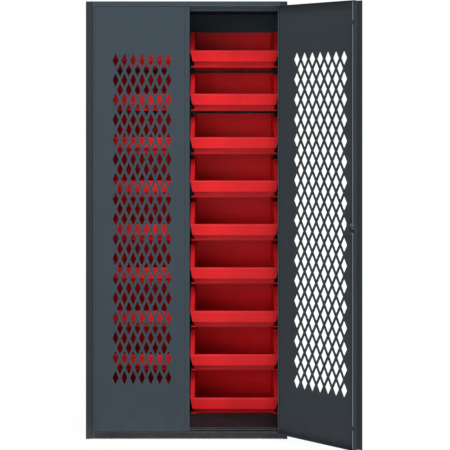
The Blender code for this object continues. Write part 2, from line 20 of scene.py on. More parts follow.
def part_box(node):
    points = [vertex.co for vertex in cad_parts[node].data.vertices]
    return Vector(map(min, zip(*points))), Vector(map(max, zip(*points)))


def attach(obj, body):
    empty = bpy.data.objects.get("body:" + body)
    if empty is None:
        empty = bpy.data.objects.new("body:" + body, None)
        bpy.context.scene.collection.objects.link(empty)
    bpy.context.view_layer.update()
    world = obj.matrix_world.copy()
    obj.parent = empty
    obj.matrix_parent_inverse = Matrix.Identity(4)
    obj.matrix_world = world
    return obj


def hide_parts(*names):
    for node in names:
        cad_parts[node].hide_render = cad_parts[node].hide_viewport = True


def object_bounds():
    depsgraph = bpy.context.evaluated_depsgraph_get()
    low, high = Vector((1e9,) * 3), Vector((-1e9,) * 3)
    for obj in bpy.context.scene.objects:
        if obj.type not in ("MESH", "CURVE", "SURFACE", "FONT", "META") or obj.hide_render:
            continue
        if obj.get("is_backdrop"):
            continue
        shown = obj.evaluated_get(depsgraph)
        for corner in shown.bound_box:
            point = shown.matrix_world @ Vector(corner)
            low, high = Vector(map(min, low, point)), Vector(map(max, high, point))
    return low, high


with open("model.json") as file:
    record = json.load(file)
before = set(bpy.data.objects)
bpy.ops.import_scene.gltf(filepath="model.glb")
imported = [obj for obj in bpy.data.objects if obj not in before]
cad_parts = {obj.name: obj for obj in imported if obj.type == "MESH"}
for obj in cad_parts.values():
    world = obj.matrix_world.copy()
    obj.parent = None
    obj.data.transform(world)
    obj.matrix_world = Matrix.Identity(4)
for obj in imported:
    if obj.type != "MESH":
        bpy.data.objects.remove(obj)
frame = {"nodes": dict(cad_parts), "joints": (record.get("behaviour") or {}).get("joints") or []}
cad = frame["nodes"]
joints = {joint["name"]: joint for joint in frame["joints"]}
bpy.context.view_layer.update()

# %% [markdown]
# ## Where things are
#
# Every piece is placed from the CAD parts and their joints, so nothing has to be fitted by
# eye. A door is easiest to draw in its own space: x runs across the door from the hinge
# axis, y runs from the door's face into the cabinet, and z is up. One matrix for each door
# then puts it where it hangs. The right door stands open by the angle at the start of its
# joint's range.

# %% Places and shared sizes
axis_left = Vector(joints["left_door_hinge"]["pos_m"])
axis_right = Vector(joints["right_door_hinge"]["pos_m"])
open_angle = math.radians(-joints["right_door_hinge"]["range_deg"][0])
door_place = {
    -1: Matrix.Translation((axis_left.x, axis_left.y, 0)),
    1: Matrix.Translation((axis_right.x, axis_right.y, 0)) @ Matrix.Rotation(open_angle, 4, "Z"),
}
side_name = {-1: "left", 1: "right"}

sheet = 0.0015
weld_gap = 0.0003
door_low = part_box("left_door_skin")[0].z
door_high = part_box("left_door_skin")[1].z
door_middle = (door_low + door_high) / 2
face_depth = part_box("left_door_skin")[0].y - axis_left.y
door_start = 0.002
left_door_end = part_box("left_door_skin")[1].x - axis_left.x
right_door_end = axis_right.x + 0.0061
print("door height in mm:", round(1000 * (door_high - door_low), 1),
      "and opening angle:", round(math.degrees(open_angle), 1))


# %% [markdown]
# ## A finish is a small program
#
# A painted or moulded surface is never one flat colour. Each finish here starts from the
# Principled shader and adds noise at the scale of the real texture. Written with nodes
# alone that gets long, so a small class wraps one socket and lets Python's own + - * add
# the Math nodes, and another keeps one material and adds any other node with one call.
# Everything reads Object coordinates in metres, so a noise scale of 900 means detail of
# about a millimetre.

# %% Shader sockets that Python can do sums with
class Wire:
    """One shader socket. Arithmetic on it adds Math nodes."""

    def __init__(self, finish, socket):
        self.finish = finish
        self.socket = socket

    def sum(self, operation, first, second):
        return self.finish.node("ShaderNodeMath", {"operation": operation}, {0: first, 1: second})

    def __add__(self, other):
        return self.sum("ADD", self, other)

    def __radd__(self, other):
        return self.sum("ADD", other, self)

    def __sub__(self, other):
        return self.sum("SUBTRACT", self, other)

    def __rsub__(self, other):
        return self.sum("SUBTRACT", other, self)

    def __mul__(self, other):
        return self.sum("MULTIPLY", self, other)

    def __rmul__(self, other):
        return self.sum("MULTIPLY", other, self)


class Finish:
    """One material, built up node by node."""

    def __init__(self, name, **shader_values):
        self.material = bpy.data.materials.new(name)
        self.material.use_nodes = True
        self.tree = self.material.node_tree
        self.shader = self.tree.nodes["Principled BSDF"]
        for socket, value in shader_values.items():
            self.shader.inputs[socket.replace("_", " ")].default_value = value
        self.place = self.node("ShaderNodeTexCoord", out="Object")

    def node(self, kind, settings=None, values=None, out=0):
        made = self.tree.nodes.new(kind)
        for name, value in (settings or {}).items():
            setattr(made, name, value)
        for socket, value in (values or {}).items():
            if isinstance(value, Wire):
                self.tree.links.new(value.socket, made.inputs[socket])
            else:
                made.inputs[socket].default_value = value
        return Wire(self, made.outputs[out])

    def feed(self, socket, wire):
        self.tree.links.new(wire.socket, self.shader.inputs[socket])

    def stretched(self, x, y, z):
        """Object coordinates with each axis at its own scale."""
        return self.node("ShaderNodeMapping", {}, {"Vector": self.place, "Scale": (x, y, z)})

    def noise(self, scale, detail=2.0, roughness=0.5, vector=None):
        return self.node("ShaderNodeTexNoise", {}, {"Vector": vector or self.place, "Scale": scale,
                                                    "Detail": detail, "Roughness": roughness})

    def between(self, wire, low, high, start=0.0, end=1.0):
        """Maps low..high of a value to start..end, and holds it there outside."""
        return self.node("ShaderNodeMapRange", {"clamp": True},
                         {0: wire, 1: low, 2: high, 3: start, 4: end})

    def mixed(self, factor, first, second):
        return self.node("ShaderNodeMix", {"data_type": "RGBA"}, {0: factor, 6: first, 7: second}, out=2)

    def bump(self, height, distance, strength, under=None):
        values = {"Height": height, "Distance": distance, "Strength": strength}
        if under:
            values["Normal"] = under
        return self.node("ShaderNodeBump", {}, values)

    def away_from_axis(self, x, y):
        """Distance from an upright line, in metres."""
        parts = self.node("ShaderNodeSeparateXYZ", {}, {0: self.place})
        node = parts.socket.node
        across = Wire(self, node.outputs["X"]) - x
        along = Wire(self, node.outputs["Y"]) - y
        return self.node("ShaderNodeMath", {"operation": "SQRT"}, {0: across * across + along * along})

    def height(self):
        parts = self.node("ShaderNodeSeparateXYZ", {}, {0: self.place})
        return Wire(self, parts.socket.node.outputs["Z"])

    def mark(self, name):
        """A value that a mesh carries on its faces."""
        return self.node("ShaderNodeAttribute", {"attribute_name": name}, {}, out="Fac")


def colour(red, green, blue, level=1.0):
    """A colour of 0 to 255 steps as linear light, made lighter or darker by level."""
    light = [((step / 255 + 0.055) / 1.055) ** 2.4 * level for step in (red, green, blue)]
    return (*light, 1.0)


# %% [markdown]
# ## Powder coat
#
# The shell and doors are powder coated: a plastic powder melted on in an oven. It flows
# into a satin film with a fine orange peel, dips and swells about two millimetres wide and a
# few hundredths deep. Thickness varies from place to place, which shifts the tone and the
# gloss slightly. Handling leaves faint rubbed streaks, and fine dust settles near the floor.
# Powder draws back from an edge while it melts and the edges are what gets touched, so the
# faces that round an edge carry a mark, "edge_wear_and_highlight", and the paint is thinner and lighter there;
# that lighter edge also stands in for the highlight along it, as a painted highlight.
# The photo shows the right door, the frame, the sill and the floor darker than the left door.
# All of them carry the same paint; their darker tones are painted shade, picked to come near the photo. Why
# isn't known. Here each has a tone of its own, picked to come near the photo.

# %% The grey paint
def powder_coat(name, base, roughness):
    paint = Finish(name, Specular_IOR_Level=0.2, IOR=1.5)
    drift = paint.noise(2.3, 3.0, 0.55)
    cloud = paint.noise(19.0, 3.0, 0.6)
    peel = paint.noise(520.0, 1.0, 0.4)
    grain = paint.noise(2600.0, 0.0)
    rubbed = paint.noise(1.0, 4.0, 0.65, paint.stretched(34.0, 34.0, 5.0))
    tone = paint.between(drift * 0.6 + cloud * 0.25 + grain * 0.15, 0.3, 0.7)
    coat = paint.mixed(tone, colour(*base, 0.93), colour(*base, 1.08))
    streak = paint.between(rubbed, 0.66, 0.8, 0.0, 0.10)
    coat = paint.mixed(streak, coat, colour(*base, 1.45))
    dust = paint.between(paint.height(), 0.0, 0.16, 0.12, 0.0) * paint.between(cloud, 0.35, 0.7)
    coat = paint.mixed(dust, coat, colour(112, 110, 106))
    # Lighter, thinner coat on the faces that round an edge: wear, and a painted highlight along the edge.
    worn_and_highlit = paint.mark("edge_wear_and_highlight") * paint.between(paint.noise(75.0, 4.0, 0.65), 0.34, 0.62, 0.25, 0.7)
    coat = paint.mixed(worn_and_highlit, coat, colour(112, 118, 123))
    paint.feed("Base Color", coat)
    paint.feed("Roughness", roughness + (peel - 0.5) * 0.10 + (cloud - 0.5) * 0.10 + dust * 0.8 - worn_and_highlit * 0.12)
    paint.feed("Normal", paint.bump(grain, 0.000012, 0.25, paint.bump(peel, 0.00006, 0.32)))
    return paint.material


grey_paint = powder_coat("grey_powder_coat", (48, 58, 65), 0.46)
# The right door, frame, sill and floor coats are the grey paint set darker: painted shade.
right_door_shaded_paint = powder_coat("right_door_powder_coat", (42, 48, 53), 0.48)
frame_shaded_paint = powder_coat("frame_coat_painted_shade", (38, 43, 48), 0.5)
sill_shaded_paint = powder_coat("sill_coat_painted_shade", (34, 38, 42), 0.5)
floor_shaded_paint = powder_coat("floor_coat_painted_shade", (23, 31, 34), 0.56)
print("paint nodes:", len(grey_paint.node_tree.nodes))

# %% [markdown]
# ## Hinge, zinc, black enamel
#
# The hinges are painted with the doors, but their knuckles rub, so the paint is thin and pale on the
# outside of the barrels: the mask is simply how far a point lies from the hinge axis. That pale outside
# is wear and also a painted highlight along the barrels, and the frame's leaves are set darker as painted
# shade. The latch rods are zinc plate, a little dulled, drawn lengthwise, so their noise is stretched along the
# rod and a cell pattern gives the faint spangle. The handle is cast and enamelled black.

# %% Hinge paint, pale where the knuckles rub, with painted highlight and painted shade
def hinge_finish(name, axis, level, wear_and_highlight):
    steel = Finish(name, Specular_IOR_Level=0.25, IOR=1.5)
    cloud = steel.noise(60.0, 3.0, 0.6)
    peel = steel.noise(700.0, 1.0, 0.4)
    rub_and_highlight = steel.between(steel.away_from_axis(axis.x, axis.y), 0.0025, 0.0029)
    rub_and_highlight = rub_and_highlight * steel.between(steel.noise(240.0, 3.0, 0.6), 0.36, 0.62)
    base = steel.mixed(steel.between(cloud, 0.3, 0.7), colour(50, 60, 67, level), colour(60, 70, 78, level))
    steel.feed("Base Color", steel.mixed(rub_and_highlight * wear_and_highlight, base, colour(134, 139, 143)))
    steel.feed("Metallic", rub_and_highlight * wear_and_highlight * 0.6)
    steel.feed("Roughness", 0.44 + (cloud - 0.5) * 0.15 - rub_and_highlight * 0.08)
    steel.feed("Normal", steel.bump(peel, 0.00004, 0.3))
    return steel.material


# The frame's leaves are set darker than the door's by their level: painted shade, strongest on the right hinge,
# where the knuckles alternate light and dark.
hinge_paint = {(-1, 0): hinge_finish("hinge_paint_left_frame", axis_left, 0.8, 0.15),
               (-1, 1): hinge_finish("hinge_paint_left_door", axis_left, 1.0, 0.3),
               (1, 0): hinge_finish("hinge_paint_right_frame", axis_right, 0.35, 0.05),
               (1, 1): hinge_finish("hinge_paint_right_door", axis_right, 1.1, 0.7)}
print("hinge finishes:", [m.name for m in hinge_paint.values()])


# %% Zinc plate
def zinc_plate(name):
    zinc = Finish(name)
    drawn = zinc.noise(1.0, 3.0, 0.6, zinc.stretched(1500.0, 1500.0, 22.0))
    cloud = zinc.noise(70.0, 3.0, 0.6)
    cells = zinc.node("ShaderNodeTexVoronoi", {"feature": "F1"},
                      {"Vector": zinc.place, "Scale": 260.0}, out="Color")
    cell = zinc.node("ShaderNodeRGBToBW", {}, {0: cells})
    tone = zinc.between(drawn * 0.45 + cloud * 0.3 + cell * 0.25, 0.3, 0.7)
    zinc.feed("Base Color", zinc.mixed(tone, colour(112, 118, 124), colour(134, 140, 146)))
    zinc.feed("Metallic", zinc.between(cloud, 0.3, 0.7, 0.93, 1.0))
    zinc.feed("Roughness", 0.36 + (drawn - 0.5) * 0.12 + (cell - 0.5) * 0.06)
    zinc.feed("Normal", zinc.bump(drawn, 0.00001, 0.35))
    return zinc.material


zinc = zinc_plate("dulled_zinc_plate")
print("zinc nodes:", len(zinc.node_tree.nodes))


# %% Black enamel on the casting
def black_enamel(name):
    enamel = Finish(name, IOR=1.5, Coat_Roughness=0.12)
    sand = enamel.noise(900.0, 2.0, 0.6)
    cloud = enamel.noise(45.0, 3.0, 0.6)
    enamel.feed("Base Color", enamel.mixed(enamel.between(cloud, 0.3, 0.7), colour(32, 35, 38),
                                           colour(45, 48, 52)))
    enamel.feed("Roughness", 0.38 + (cloud - 0.5) * 0.15)
    enamel.feed("Coat Weight", enamel.between(cloud, 0.3, 0.7, 0.15, 0.35))
    enamel.feed("Normal", enamel.bump(sand, 0.00007, 0.35))
    return enamel.material


black = black_enamel("black_enamel")
print("enamel nodes:", len(black.node_tree.nodes))


# %% [markdown]
# ## Moulded red plastic
#
# The bins are injection moulded polypropylene. The mould is spark eroded, so the skin has a
# fine even grain with a soft sheen. The melt flows out from one gate, which leaves broad
# flow bands that are a little deeper or lighter, and pigment specks that only show close by.
# Where the rounded edges get knocked, the plastic turns pale, so those faces carry a mark; the pale
# edge is also a painted highlight. The faces under the lip carry a mark too and are painted darker, as painted
# shade from the lip.

# %% Red polypropylene
def red_plastic(name):
    red = Finish(name, IOR=1.49, Specular_IOR_Level=0.14, Coat_Roughness=0.3)
    flow = red.noise(1.0, 3.0, 0.6, red.stretched(5.0, 9.0, 14.0))
    cloud = red.noise(38.0, 3.0, 0.6)
    speck = red.noise(2200.0, 1.0, 0.5)
    grain = red.noise(1500.0, 2.0, 0.6)
    tone = red.between(flow * 0.55 + cloud * 0.3 + speck * 0.15, 0.3, 0.7)
    base = red.mixed(tone, colour(207, 30, 36), colour(223, 37, 42))
    # Faces under the lip are painted darker: painted shade from the lip above them.
    painted_shade_under_lip = red.mark("painted_shade_under_lip")
    base = red.mixed(painted_shade_under_lip * 0.34, base, colour(120, 14, 18))
    # Pale rounded edges: knocks, and a painted highlight along the lip's edges.
    scuffed_and_highlit = red.mark("edge_wear_and_highlight") * red.between(red.noise(90.0, 4.0, 0.65), 0.34, 0.62, 0.5, 1.0)
    red.feed("Base Color", red.mixed(scuffed_and_highlit * 0.4, base, colour(214, 116, 122)))
    red.feed("Roughness", 0.37 + (flow - 0.5) * 0.12 + (grain - 0.5) * 0.08)
    red.feed("Coat Weight", red.between(cloud, 0.3, 0.7, 0.0, 0.06))
    red.feed("Normal", red.bump(grain, 0.00003, 0.3))
    return red.material


red = red_plastic("red_polypropylene")
print("plastic nodes:", len(red.node_tree.nodes))


# %% [markdown]
# ## Mesh helpers
#
# Most pieces are made from a few closed loops of points joined by bands of faces, because a
# pressed or moulded part is exactly that: an outline carried through some steps. After a
# mesh is closed, its normals are pointed outwards, and a weighted normal modifier keeps the
# large faces flat while the small radii at their edges shade round.

# %% Loops, bands and plain meshes
def ring_mesh(work, points):
    return [work.verts.new(point) for point in points]


def band(work, first, second):
    """Faces between two closed loops of equally many points."""
    count = len(first)
    for step in range(count):
        after = (step + 1) % count
        work.faces.new((first[step], first[after], second[after], second[step]))


def object_from(work, name, weld=0.00001):
    bmesh.ops.remove_doubles(work, verts=work.verts, dist=weld)
    bmesh.ops.recalc_face_normals(work, faces=work.faces)
    mesh = bpy.data.meshes.new(name)
    work.to_mesh(mesh)
    work.free()
    made = bpy.data.objects.new(name, mesh)
    bpy.context.scene.collection.objects.link(made)
    return made


def plain(obj, place=Matrix.Identity(4)):
    """Turns an object with its modifiers into a plain mesh object that sits at the origin."""
    name = obj.name
    bpy.context.view_layer.update()
    mesh = bpy.data.meshes.new_from_object(obj.evaluated_get(bpy.context.evaluated_depsgraph_get()))
    mesh.transform(place @ obj.matrix_world)
    bpy.data.objects.remove(obj)
    made = bpy.data.objects.new(name, mesh)
    bpy.context.scene.collection.objects.link(made)
    return made


def eased(obj, sharp_over=50.0):
    """Smooth shading that leaves big faces flat and true corners sharp."""
    for polygon in obj.data.polygons:
        polygon.use_smooth = True
    obj.data.set_sharp_from_angle(angle=math.radians(sharp_over))
    weighted = obj.modifiers.new("weighted", "WEIGHTED_NORMAL")
    weighted.keep_sharp = True
    weighted.weight = 80
    return plain(obj)


def dressed(obj, material, body, nodes=()):
    """Gives a finished piece its finish and its body, and hides the CAD parts it stands for."""
    obj.data.materials.clear()
    obj.data.materials.append(material)
    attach(obj, body)
    if nodes:
        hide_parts(*nodes)
    print(f"{obj.name}: {len(obj.data.polygons)} faces on {body}")
    return obj


# %% Joining and cutting
def merged(objects, name):
    """One mesh object from several, each with its place worked in."""
    work = bmesh.new()
    for obj in objects:
        obj.data.transform(obj.matrix_world)
        work.from_mesh(obj.data)
        bpy.data.objects.remove(obj)
    return object_from(work, name)


def combined(obj, other, operation):
    """A union or difference of two closed meshes."""
    cut = obj.modifiers.new("cut", "BOOLEAN")
    cut.operation = operation
    cut.solver = "EXACT"
    cut.object = other
    made = plain(obj)
    bpy.data.objects.remove(other)
    return made


# %% [markdown]
# ## Growing things with Geometry Nodes
#
# Openings, knuckles and louvres repeat hundreds of times at a fixed pitch. A Geometry Nodes
# tree says that once: points in a pattern, one shape on each point, instances made real, a
# material set. Its sizes are named inputs, so the same tree makes a hinge of any length.
# The result is turned into a plain mesh, because a piece has to be a mesh when it starts to
# ride on its body.

# %% A tree builder and a way to run it
class Grower:
    """A Geometry Nodes tree with named inputs, built up node by node."""

    def __init__(self, name, inputs):
        self.tree = bpy.data.node_groups.new(name, "GeometryNodeTree")
        self.tree.is_modifier = True
        sides = self.tree.interface
        sides.new_socket(name="Geometry", in_out="OUTPUT", socket_type="NodeSocketGeometry")
        sides.new_socket(name="Shape", in_out="INPUT", socket_type="NodeSocketGeometry")
        for label, kind in inputs.items():
            sides.new_socket(name=label, in_out="INPUT", socket_type="NodeSocket" + kind)
        self.start = self.tree.nodes.new("NodeGroupInput")
        self.end = self.tree.nodes.new("NodeGroupOutput")

    def given(self, label):
        return self.start.outputs[label]

    def node(self, kind, settings=None, values=None, out=0):
        made = self.tree.nodes.new(kind)
        for name, value in (settings or {}).items():
            setattr(made, name, value)
        for socket, value in (values or {}).items():
            for item in value if isinstance(value, list) else [value]:
                if isinstance(item, bpy.types.NodeSocket):
                    self.tree.links.new(item, made.inputs[socket])
                else:
                    made.inputs[socket].default_value = item
        return made.outputs[out]

    def sum(self, operation, first, second):
        return self.node("ShaderNodeMath", {"operation": operation}, {0: first, 1: second})

    def vector(self, x=0.0, y=0.0, z=0.0):
        return self.node("ShaderNodeCombineXYZ", {}, {"X": x, "Y": y, "Z": z})

    def close(self, geometry):
        """Ends the tree in real geometry with its material."""
        real = self.node("GeometryNodeRealizeInstances", {}, {0: geometry})
        whole = self.node("GeometryNodeMergeByDistance", {}, {"Geometry": real, "Distance": 0.00001})
        final = self.node("GeometryNodeSetMaterial", {}, {"Geometry": whole, "Material": self.given("Finish")})
        self.tree.links.new(final, self.end.inputs[0])
        return self.tree


def grown(shape, tree, values, name):
    """Runs a tree on a shape and gives the plain mesh that it grew."""
    grow = shape.modifiers.new("grow", "NODES")
    grow.node_group = tree
    for item in tree.interface.items_tree:
        if item.in_out == "INPUT" and item.name in values:
            grow[item.identifier] = values[item.name]
    shape.name = name
    made = plain(shape)
    made.name = name
    return made


# %% The three patterns
def row_tree():
    """Copies of a shape along a straight line."""
    grow = Grower("row_of_parts", {"Count": "Int", "Start": "Vector", "Step": "Vector", "Finish": "Material"})
    line = grow.node("GeometryNodeMeshLine", {"mode": "OFFSET"},
                     {"Count": grow.given("Count"), "Start Location": grow.given("Start"),
                      "Offset": grow.given("Step")})
    copies = grow.node("GeometryNodeInstanceOnPoints", {}, {"Points": line, "Instance": grow.given("Shape")})
    return grow.close(copies)


def staggered_tree():
    """Copies of a shape on long rows with shorter rows centred between them."""
    grow = Grower("staggered_openings", {"Openings in long row": "Int", "Long rows": "Int",
                                         "Opening pitch": "Float", "Row pitch": "Float",
                                         "Field centre": "Vector", "Finish": "Material"})
    across, rows = grow.given("Openings in long row"), grow.given("Long rows")
    pitch = grow.given("Opening pitch")
    row_step = grow.sum("MULTIPLY", grow.given("Row pitch"), 2.0)
    fields = []
    for fewer in (0.0, 1.0):
        columns = grow.sum("SUBTRACT", across, fewer)
        lines = grow.sum("SUBTRACT", rows, fewer)
        width = grow.sum("MULTIPLY", grow.sum("SUBTRACT", columns, 1.0), pitch)
        height = grow.sum("MULTIPLY", grow.sum("SUBTRACT", lines, 1.0), row_step)
        fields.append(grow.node("GeometryNodeMeshGrid", {}, {"Size X": width, "Size Y": height,
                                                             "Vertices X": columns, "Vertices Y": lines}))
    points = grow.node("GeometryNodeJoinGeometry", {}, {0: fields})
    upright = grow.node("GeometryNodeTransform", {}, {"Geometry": points, "Rotation": (math.pi / 2, 0, 0),
                                                      "Translation": grow.given("Field centre")})
    copies = grow.node("GeometryNodeInstanceOnPoints", {},
                       {"Points": upright, "Instance": grow.given("Shape")})
    return grow.close(copies)


def grid_tree():
    """Copies of a shape on an upright grid."""
    grow = Grower("grid_of_louvres", {"Columns": "Int", "Rows": "Int", "Column pitch": "Float",
                                      "Row pitch": "Float", "Centre": "Vector", "Finish": "Material"})
    columns, rows = grow.given("Columns"), grow.given("Rows")
    width = grow.sum("MULTIPLY", grow.sum("SUBTRACT", columns, 1.0), grow.given("Column pitch"))
    height = grow.sum("MULTIPLY", grow.sum("SUBTRACT", rows, 1.0), grow.given("Row pitch"))
    points = grow.node("GeometryNodeMeshGrid", {}, {"Size X": width, "Size Y": height,
                                                    "Vertices X": columns, "Vertices Y": rows})
    upright = grow.node("GeometryNodeTransform", {}, {"Geometry": points, "Rotation": (math.pi / 2, 0, 0),
                                                      "Translation": grow.given("Centre")})
    copies = grow.node("GeometryNodeInstanceOnPoints", {},
                       {"Points": upright, "Instance": grow.given("Shape")})
    return grow.close(copies)


in_a_row, staggered, on_a_grid = row_tree(), staggered_tree(), grid_tree()
print("trees:", in_a_row.name, staggered.name, on_a_grid.name)


# %% [markdown]
# ## The punched doors
#
# Each door's face is one sheet with 215 diamond openings in 33 staggered rows. A punch
# leaves slightly round corners and the coat rounds the edges of each hole. On a staggered
# pattern the sheet divides exactly into equal diamonds with a hole in each, so one cell with
# sixty faces, grown on the pattern and merged, gives the whole field. The plain margin round
# it is filled between the field's zigzag and the door's outline.

# %% One punched cell
pitch = 0.040
row_pitch = 0.045
opening_half = (0.0135, 0.031)
hole_corner = 0.0011
coat_edge = 0.0004
cell_share = 0.07


def four_ways(quarter):
    """A loop from its first quarter, which runs from the right point to the top point."""
    right, first, second, high = quarter
    return [right, first, second, high, (-second[0], second[1]), (-first[0], first[1]),
            (-right[0], right[1]), (-first[0], -first[1]), (-second[0], -second[1]),
            (high[0], -high[1]), (second[0], -second[1]), (first[0], -first[1])]


def lattice_loop():
    """The cell's own outline, which neighbouring cells share."""
    wide, tall = pitch / 2, row_pitch
    near, far = cell_share, 1 - cell_share
    return four_ways([(wide, 0), (wide * far, tall * near), (wide * near, tall * far), (0, tall)])


def hole_loop(grow):
    """The diamond with eased corners, made larger all round by grow."""
    wide, tall = opening_half
    slant = math.hypot(wide, tall)
    side_centre = wide - hole_corner * slant / tall
    top_centre = tall - hole_corner * slant / wide
    radius = hole_corner + grow
    out, up = radius * tall / slant, radius * wide / slant
    return four_ways([(side_centre + radius, 0), (side_centre + out, up), (out, top_centre + up),
                      (0, top_centre + radius)])


def punched_cell():
    work = bmesh.new()
    steps = [(lattice_loop(), 0), (hole_loop(coat_edge), 0), (hole_loop(0), coat_edge),
             (hole_loop(0), sheet - coat_edge), (hole_loop(coat_edge), sheet), (lattice_loop(), sheet)]
    rings = [ring_mesh(work, [(x, face_depth + depth, z) for x, z in loop]) for loop, depth in steps]
    for first, second in zip(rings, rings[1:]):
        band(work, first, second)
    mesh = bpy.data.meshes.new("cell")
    work.to_mesh(mesh)
    work.free()
    cell = bpy.data.objects.new("cell", mesh)
    bpy.context.scene.collection.objects.link(cell)
    return cell


# %% The margin round the field
columns = 7
long_rows = 17
field_from_axis = 0.217


def zigzag(centre):
    """The outline of the field of cells, counted anticlockwise from the lowest left cell."""
    wide, tall = pitch / 2, row_pitch
    right = centre[0] + (columns - 1) * wide
    left = centre[0] - (columns - 1) * wide
    low = centre[1] - (long_rows - 1) * tall
    high = centre[1] + (long_rows - 1) * tall
    corners = []
    for step in range(columns):
        corners += [(left - wide + step * pitch, low), (left + step * pitch, low - tall)]
    for step in range(long_rows):
        corners.append((right + wide, low + 2 * tall * step))
        corners.append((right, low + 2 * tall * step + tall))
    for step in range(columns - 1):
        corners += [(right - wide - step * pitch, high), (right - (step + 1) * pitch, high + tall)]
    for step in range(long_rows - 1):
        corners += [(left - wide, high - 2 * tall * step), (left, high - 2 * tall * step - tall)]
    points = []
    for here, after in zip(corners, corners[1:] + corners[:1]):
        points.append(here)
        for share in (cell_share, 1 - cell_share):
            points.append((here[0] + (after[0] - here[0]) * share, here[1] + (after[1] - here[1]) * share))
    return points


def soft_rectangle(low, high, corner, steps=4):
    """A rectangle with rounded corners."""
    points = []
    for x, z, turn in ((high[0] - corner, high[1] - corner, 0), (low[0] + corner, high[1] - corner, 90),
                       (low[0] + corner, low[1] + corner, 180), (high[0] - corner, low[1] + corner, 270)):
        for step in range(steps + 1):
            angle = math.radians(turn + 90 * step / steps)
            points.append((x + corner * math.cos(angle), z + corner * math.sin(angle)))
    return points


def fill(work, loops):
    """Faces between an outline and the loops of openings in it."""
    verts = [vert for loop in loops for vert in loop]
    for corners in tessellate_polygon([[vert.co.xzy for vert in loop] for loop in loops]):
        work.faces.new([verts[index] for index in corners])


def door_margin(side, end, holes=()):
    """The plain sheet round the field, with the bend's radius along its outer edge."""
    outer_corner, fold = 0.0026, 0.0012
    work = bmesh.new()

    def outline(inset, depth):
        loop = soft_rectangle((door_start + inset, door_low + inset), (end - inset, door_high - inset),
                              outer_corner - inset)
        return ring_mesh(work, [(-side * x, face_depth + depth, z) for x, z in loop])

    turns = [math.radians(angle) for angle in (90, 60, 30, 0)]
    rings = [outline(fold * math.sin(turn), fold * (1 - math.cos(turn))) for turn in turns]
    rings = [outline(fold * (1 - math.cos(turn)), fold * (1 - math.sin(turn))) for turn in turns]
    rings = rings[::-1] if rings[0][0].co.y > rings[-1][0].co.y else rings
    rings.append(outline(0, sheet))
    for first, second in zip(rings, rings[1:]):
        band(work, first, second)
    edges = {0: [rings[0]], 1: [rings[-1]]}
    field = [(-side * x, z) for x, z in zigzag((field_from_axis, door_middle))]
    for level, depth in ((0, 0), (1, sheet)):
        edges[level].append(ring_mesh(work, [(x, face_depth + depth, z) for x, z in field]))
    for centre, radius in holes:
        walls = []
        for level, depth in ((0, 0), (1, sheet)):
            loop = [(-side * centre[0] + radius * math.cos(math.radians(22.5 * step)), face_depth + depth,
                     centre[1] + radius * math.sin(math.radians(22.5 * step))) for step in range(16)]
            walls.append(ring_mesh(work, loop))
            edges[level].append(walls[-1])
        band(work, *walls)
    for loops in edges.values():
        fill(work, loops)
    mesh = bpy.data.meshes.new("margin")
    work.to_mesh(mesh)
    work.free()
    margin = bpy.data.objects.new("margin", mesh)
    bpy.context.scene.collection.objects.link(margin)
    return margin


# %% Both punched faces
def punched_face(side, end, paint, holes=()):
    field = grown(punched_cell(), staggered,
                  {"Openings in long row": columns, "Long rows": long_rows, "Opening pitch": pitch,
                   "Row pitch": row_pitch, "Field centre": (-side * field_from_axis, 0.0, door_middle),
                   "Finish": paint}, "field")
    face = merged([field, door_margin(side, end, holes)], side_name[side] + "_door_face")
    face.data.transform(door_place[side])
    return dressed(eased(face, 70), paint, side_name[side] + "_door", [side_name[side] + "_door_skin"])


spindle_across = 0.378
# The right door's coat is darker than the left door's as painted shade.
door_paint = {-1: grey_paint, 1: right_door_shaded_paint}
punched_face(-1, left_door_end, door_paint[-1])
punched_face(1, right_door_end, door_paint[1], [((spindle_across, door_middle), 0.0054)])


# %% [markdown]
# ## Folded steel from the CAD parts
#
# The stiles, header, sill, door flanges, panels and small latch parts already have the
# right shape, only with knife edges. A press brake leaves a radius of about the sheet's
# thickness at each fold and shears leave a small break at each cut edge. A copy of the CAD
# mesh is merged, its coplanar triangles are dissolved to whole faces, and a bevel with a
# weight for each edge does both: full weight on the folds, a little on the cut edges. Faces
# with a bay in their outline are split into plain ones, which always fill correctly.

# %% Softening a copy of a CAD part
def softened(node, name, edge=0.0003, fold=None, fold_test=None, segments=2, place=None, nudge=None):
    """A copy of a CAD part with broken edges, and with a larger radius where fold_test says so."""
    work = bmesh.new()
    work.from_mesh(cad[node].data)
    bmesh.ops.remove_doubles(work, verts=work.verts, dist=0.00002)
    bmesh.ops.dissolve_limit(work, angle_limit=math.radians(1.0), verts=work.verts[:], edges=work.edges[:])
    bmesh.ops.connect_verts_concave(work, faces=work.faces[:])
    if nudge:
        for vert in work.verts:
            vert.co = nudge(vert.co)
    weights = work.edges.layers.float.new("bevel_weight_edge")
    largest = max(edge, fold or 0)
    for line in work.edges:
        if len(line.link_faces) != 2:
            continue
        if line.calc_face_angle(0) < math.radians(25):
            continue
        folded = fold_test is not None and fold_test(line)
        line[weights] = (fold if folded else edge) / largest
    mesh = bpy.data.meshes.new(name)
    work.to_mesh(mesh)
    work.free()
    made = bpy.data.objects.new(name, mesh)
    bpy.context.scene.collection.objects.link(made)
    soft = made.modifiers.new("radius", "BEVEL")
    soft.limit_method = "WEIGHT"
    soft.width = largest
    soft.segments = segments
    soft.use_clamp_overlap = True
    soft.material = 1
    for _ in range(2):
        mesh.materials.append(grey_paint)
    made = plain(made)
    work = bmesh.new()
    work.from_mesh(made.data)
    wear_and_highlight = work.faces.layers.float.new("edge_wear_and_highlight")
    # The bevel's faces carry the pale-edge mark: wear and painted highlight.
    for face in work.faces:
        face[wear_and_highlight] = face.material_index
        face.material_index = 0
    bmesh.ops.connect_verts_concave(work, faces=work.faces[:])
    work.to_mesh(made.data)
    work.free()
    return eased(made)


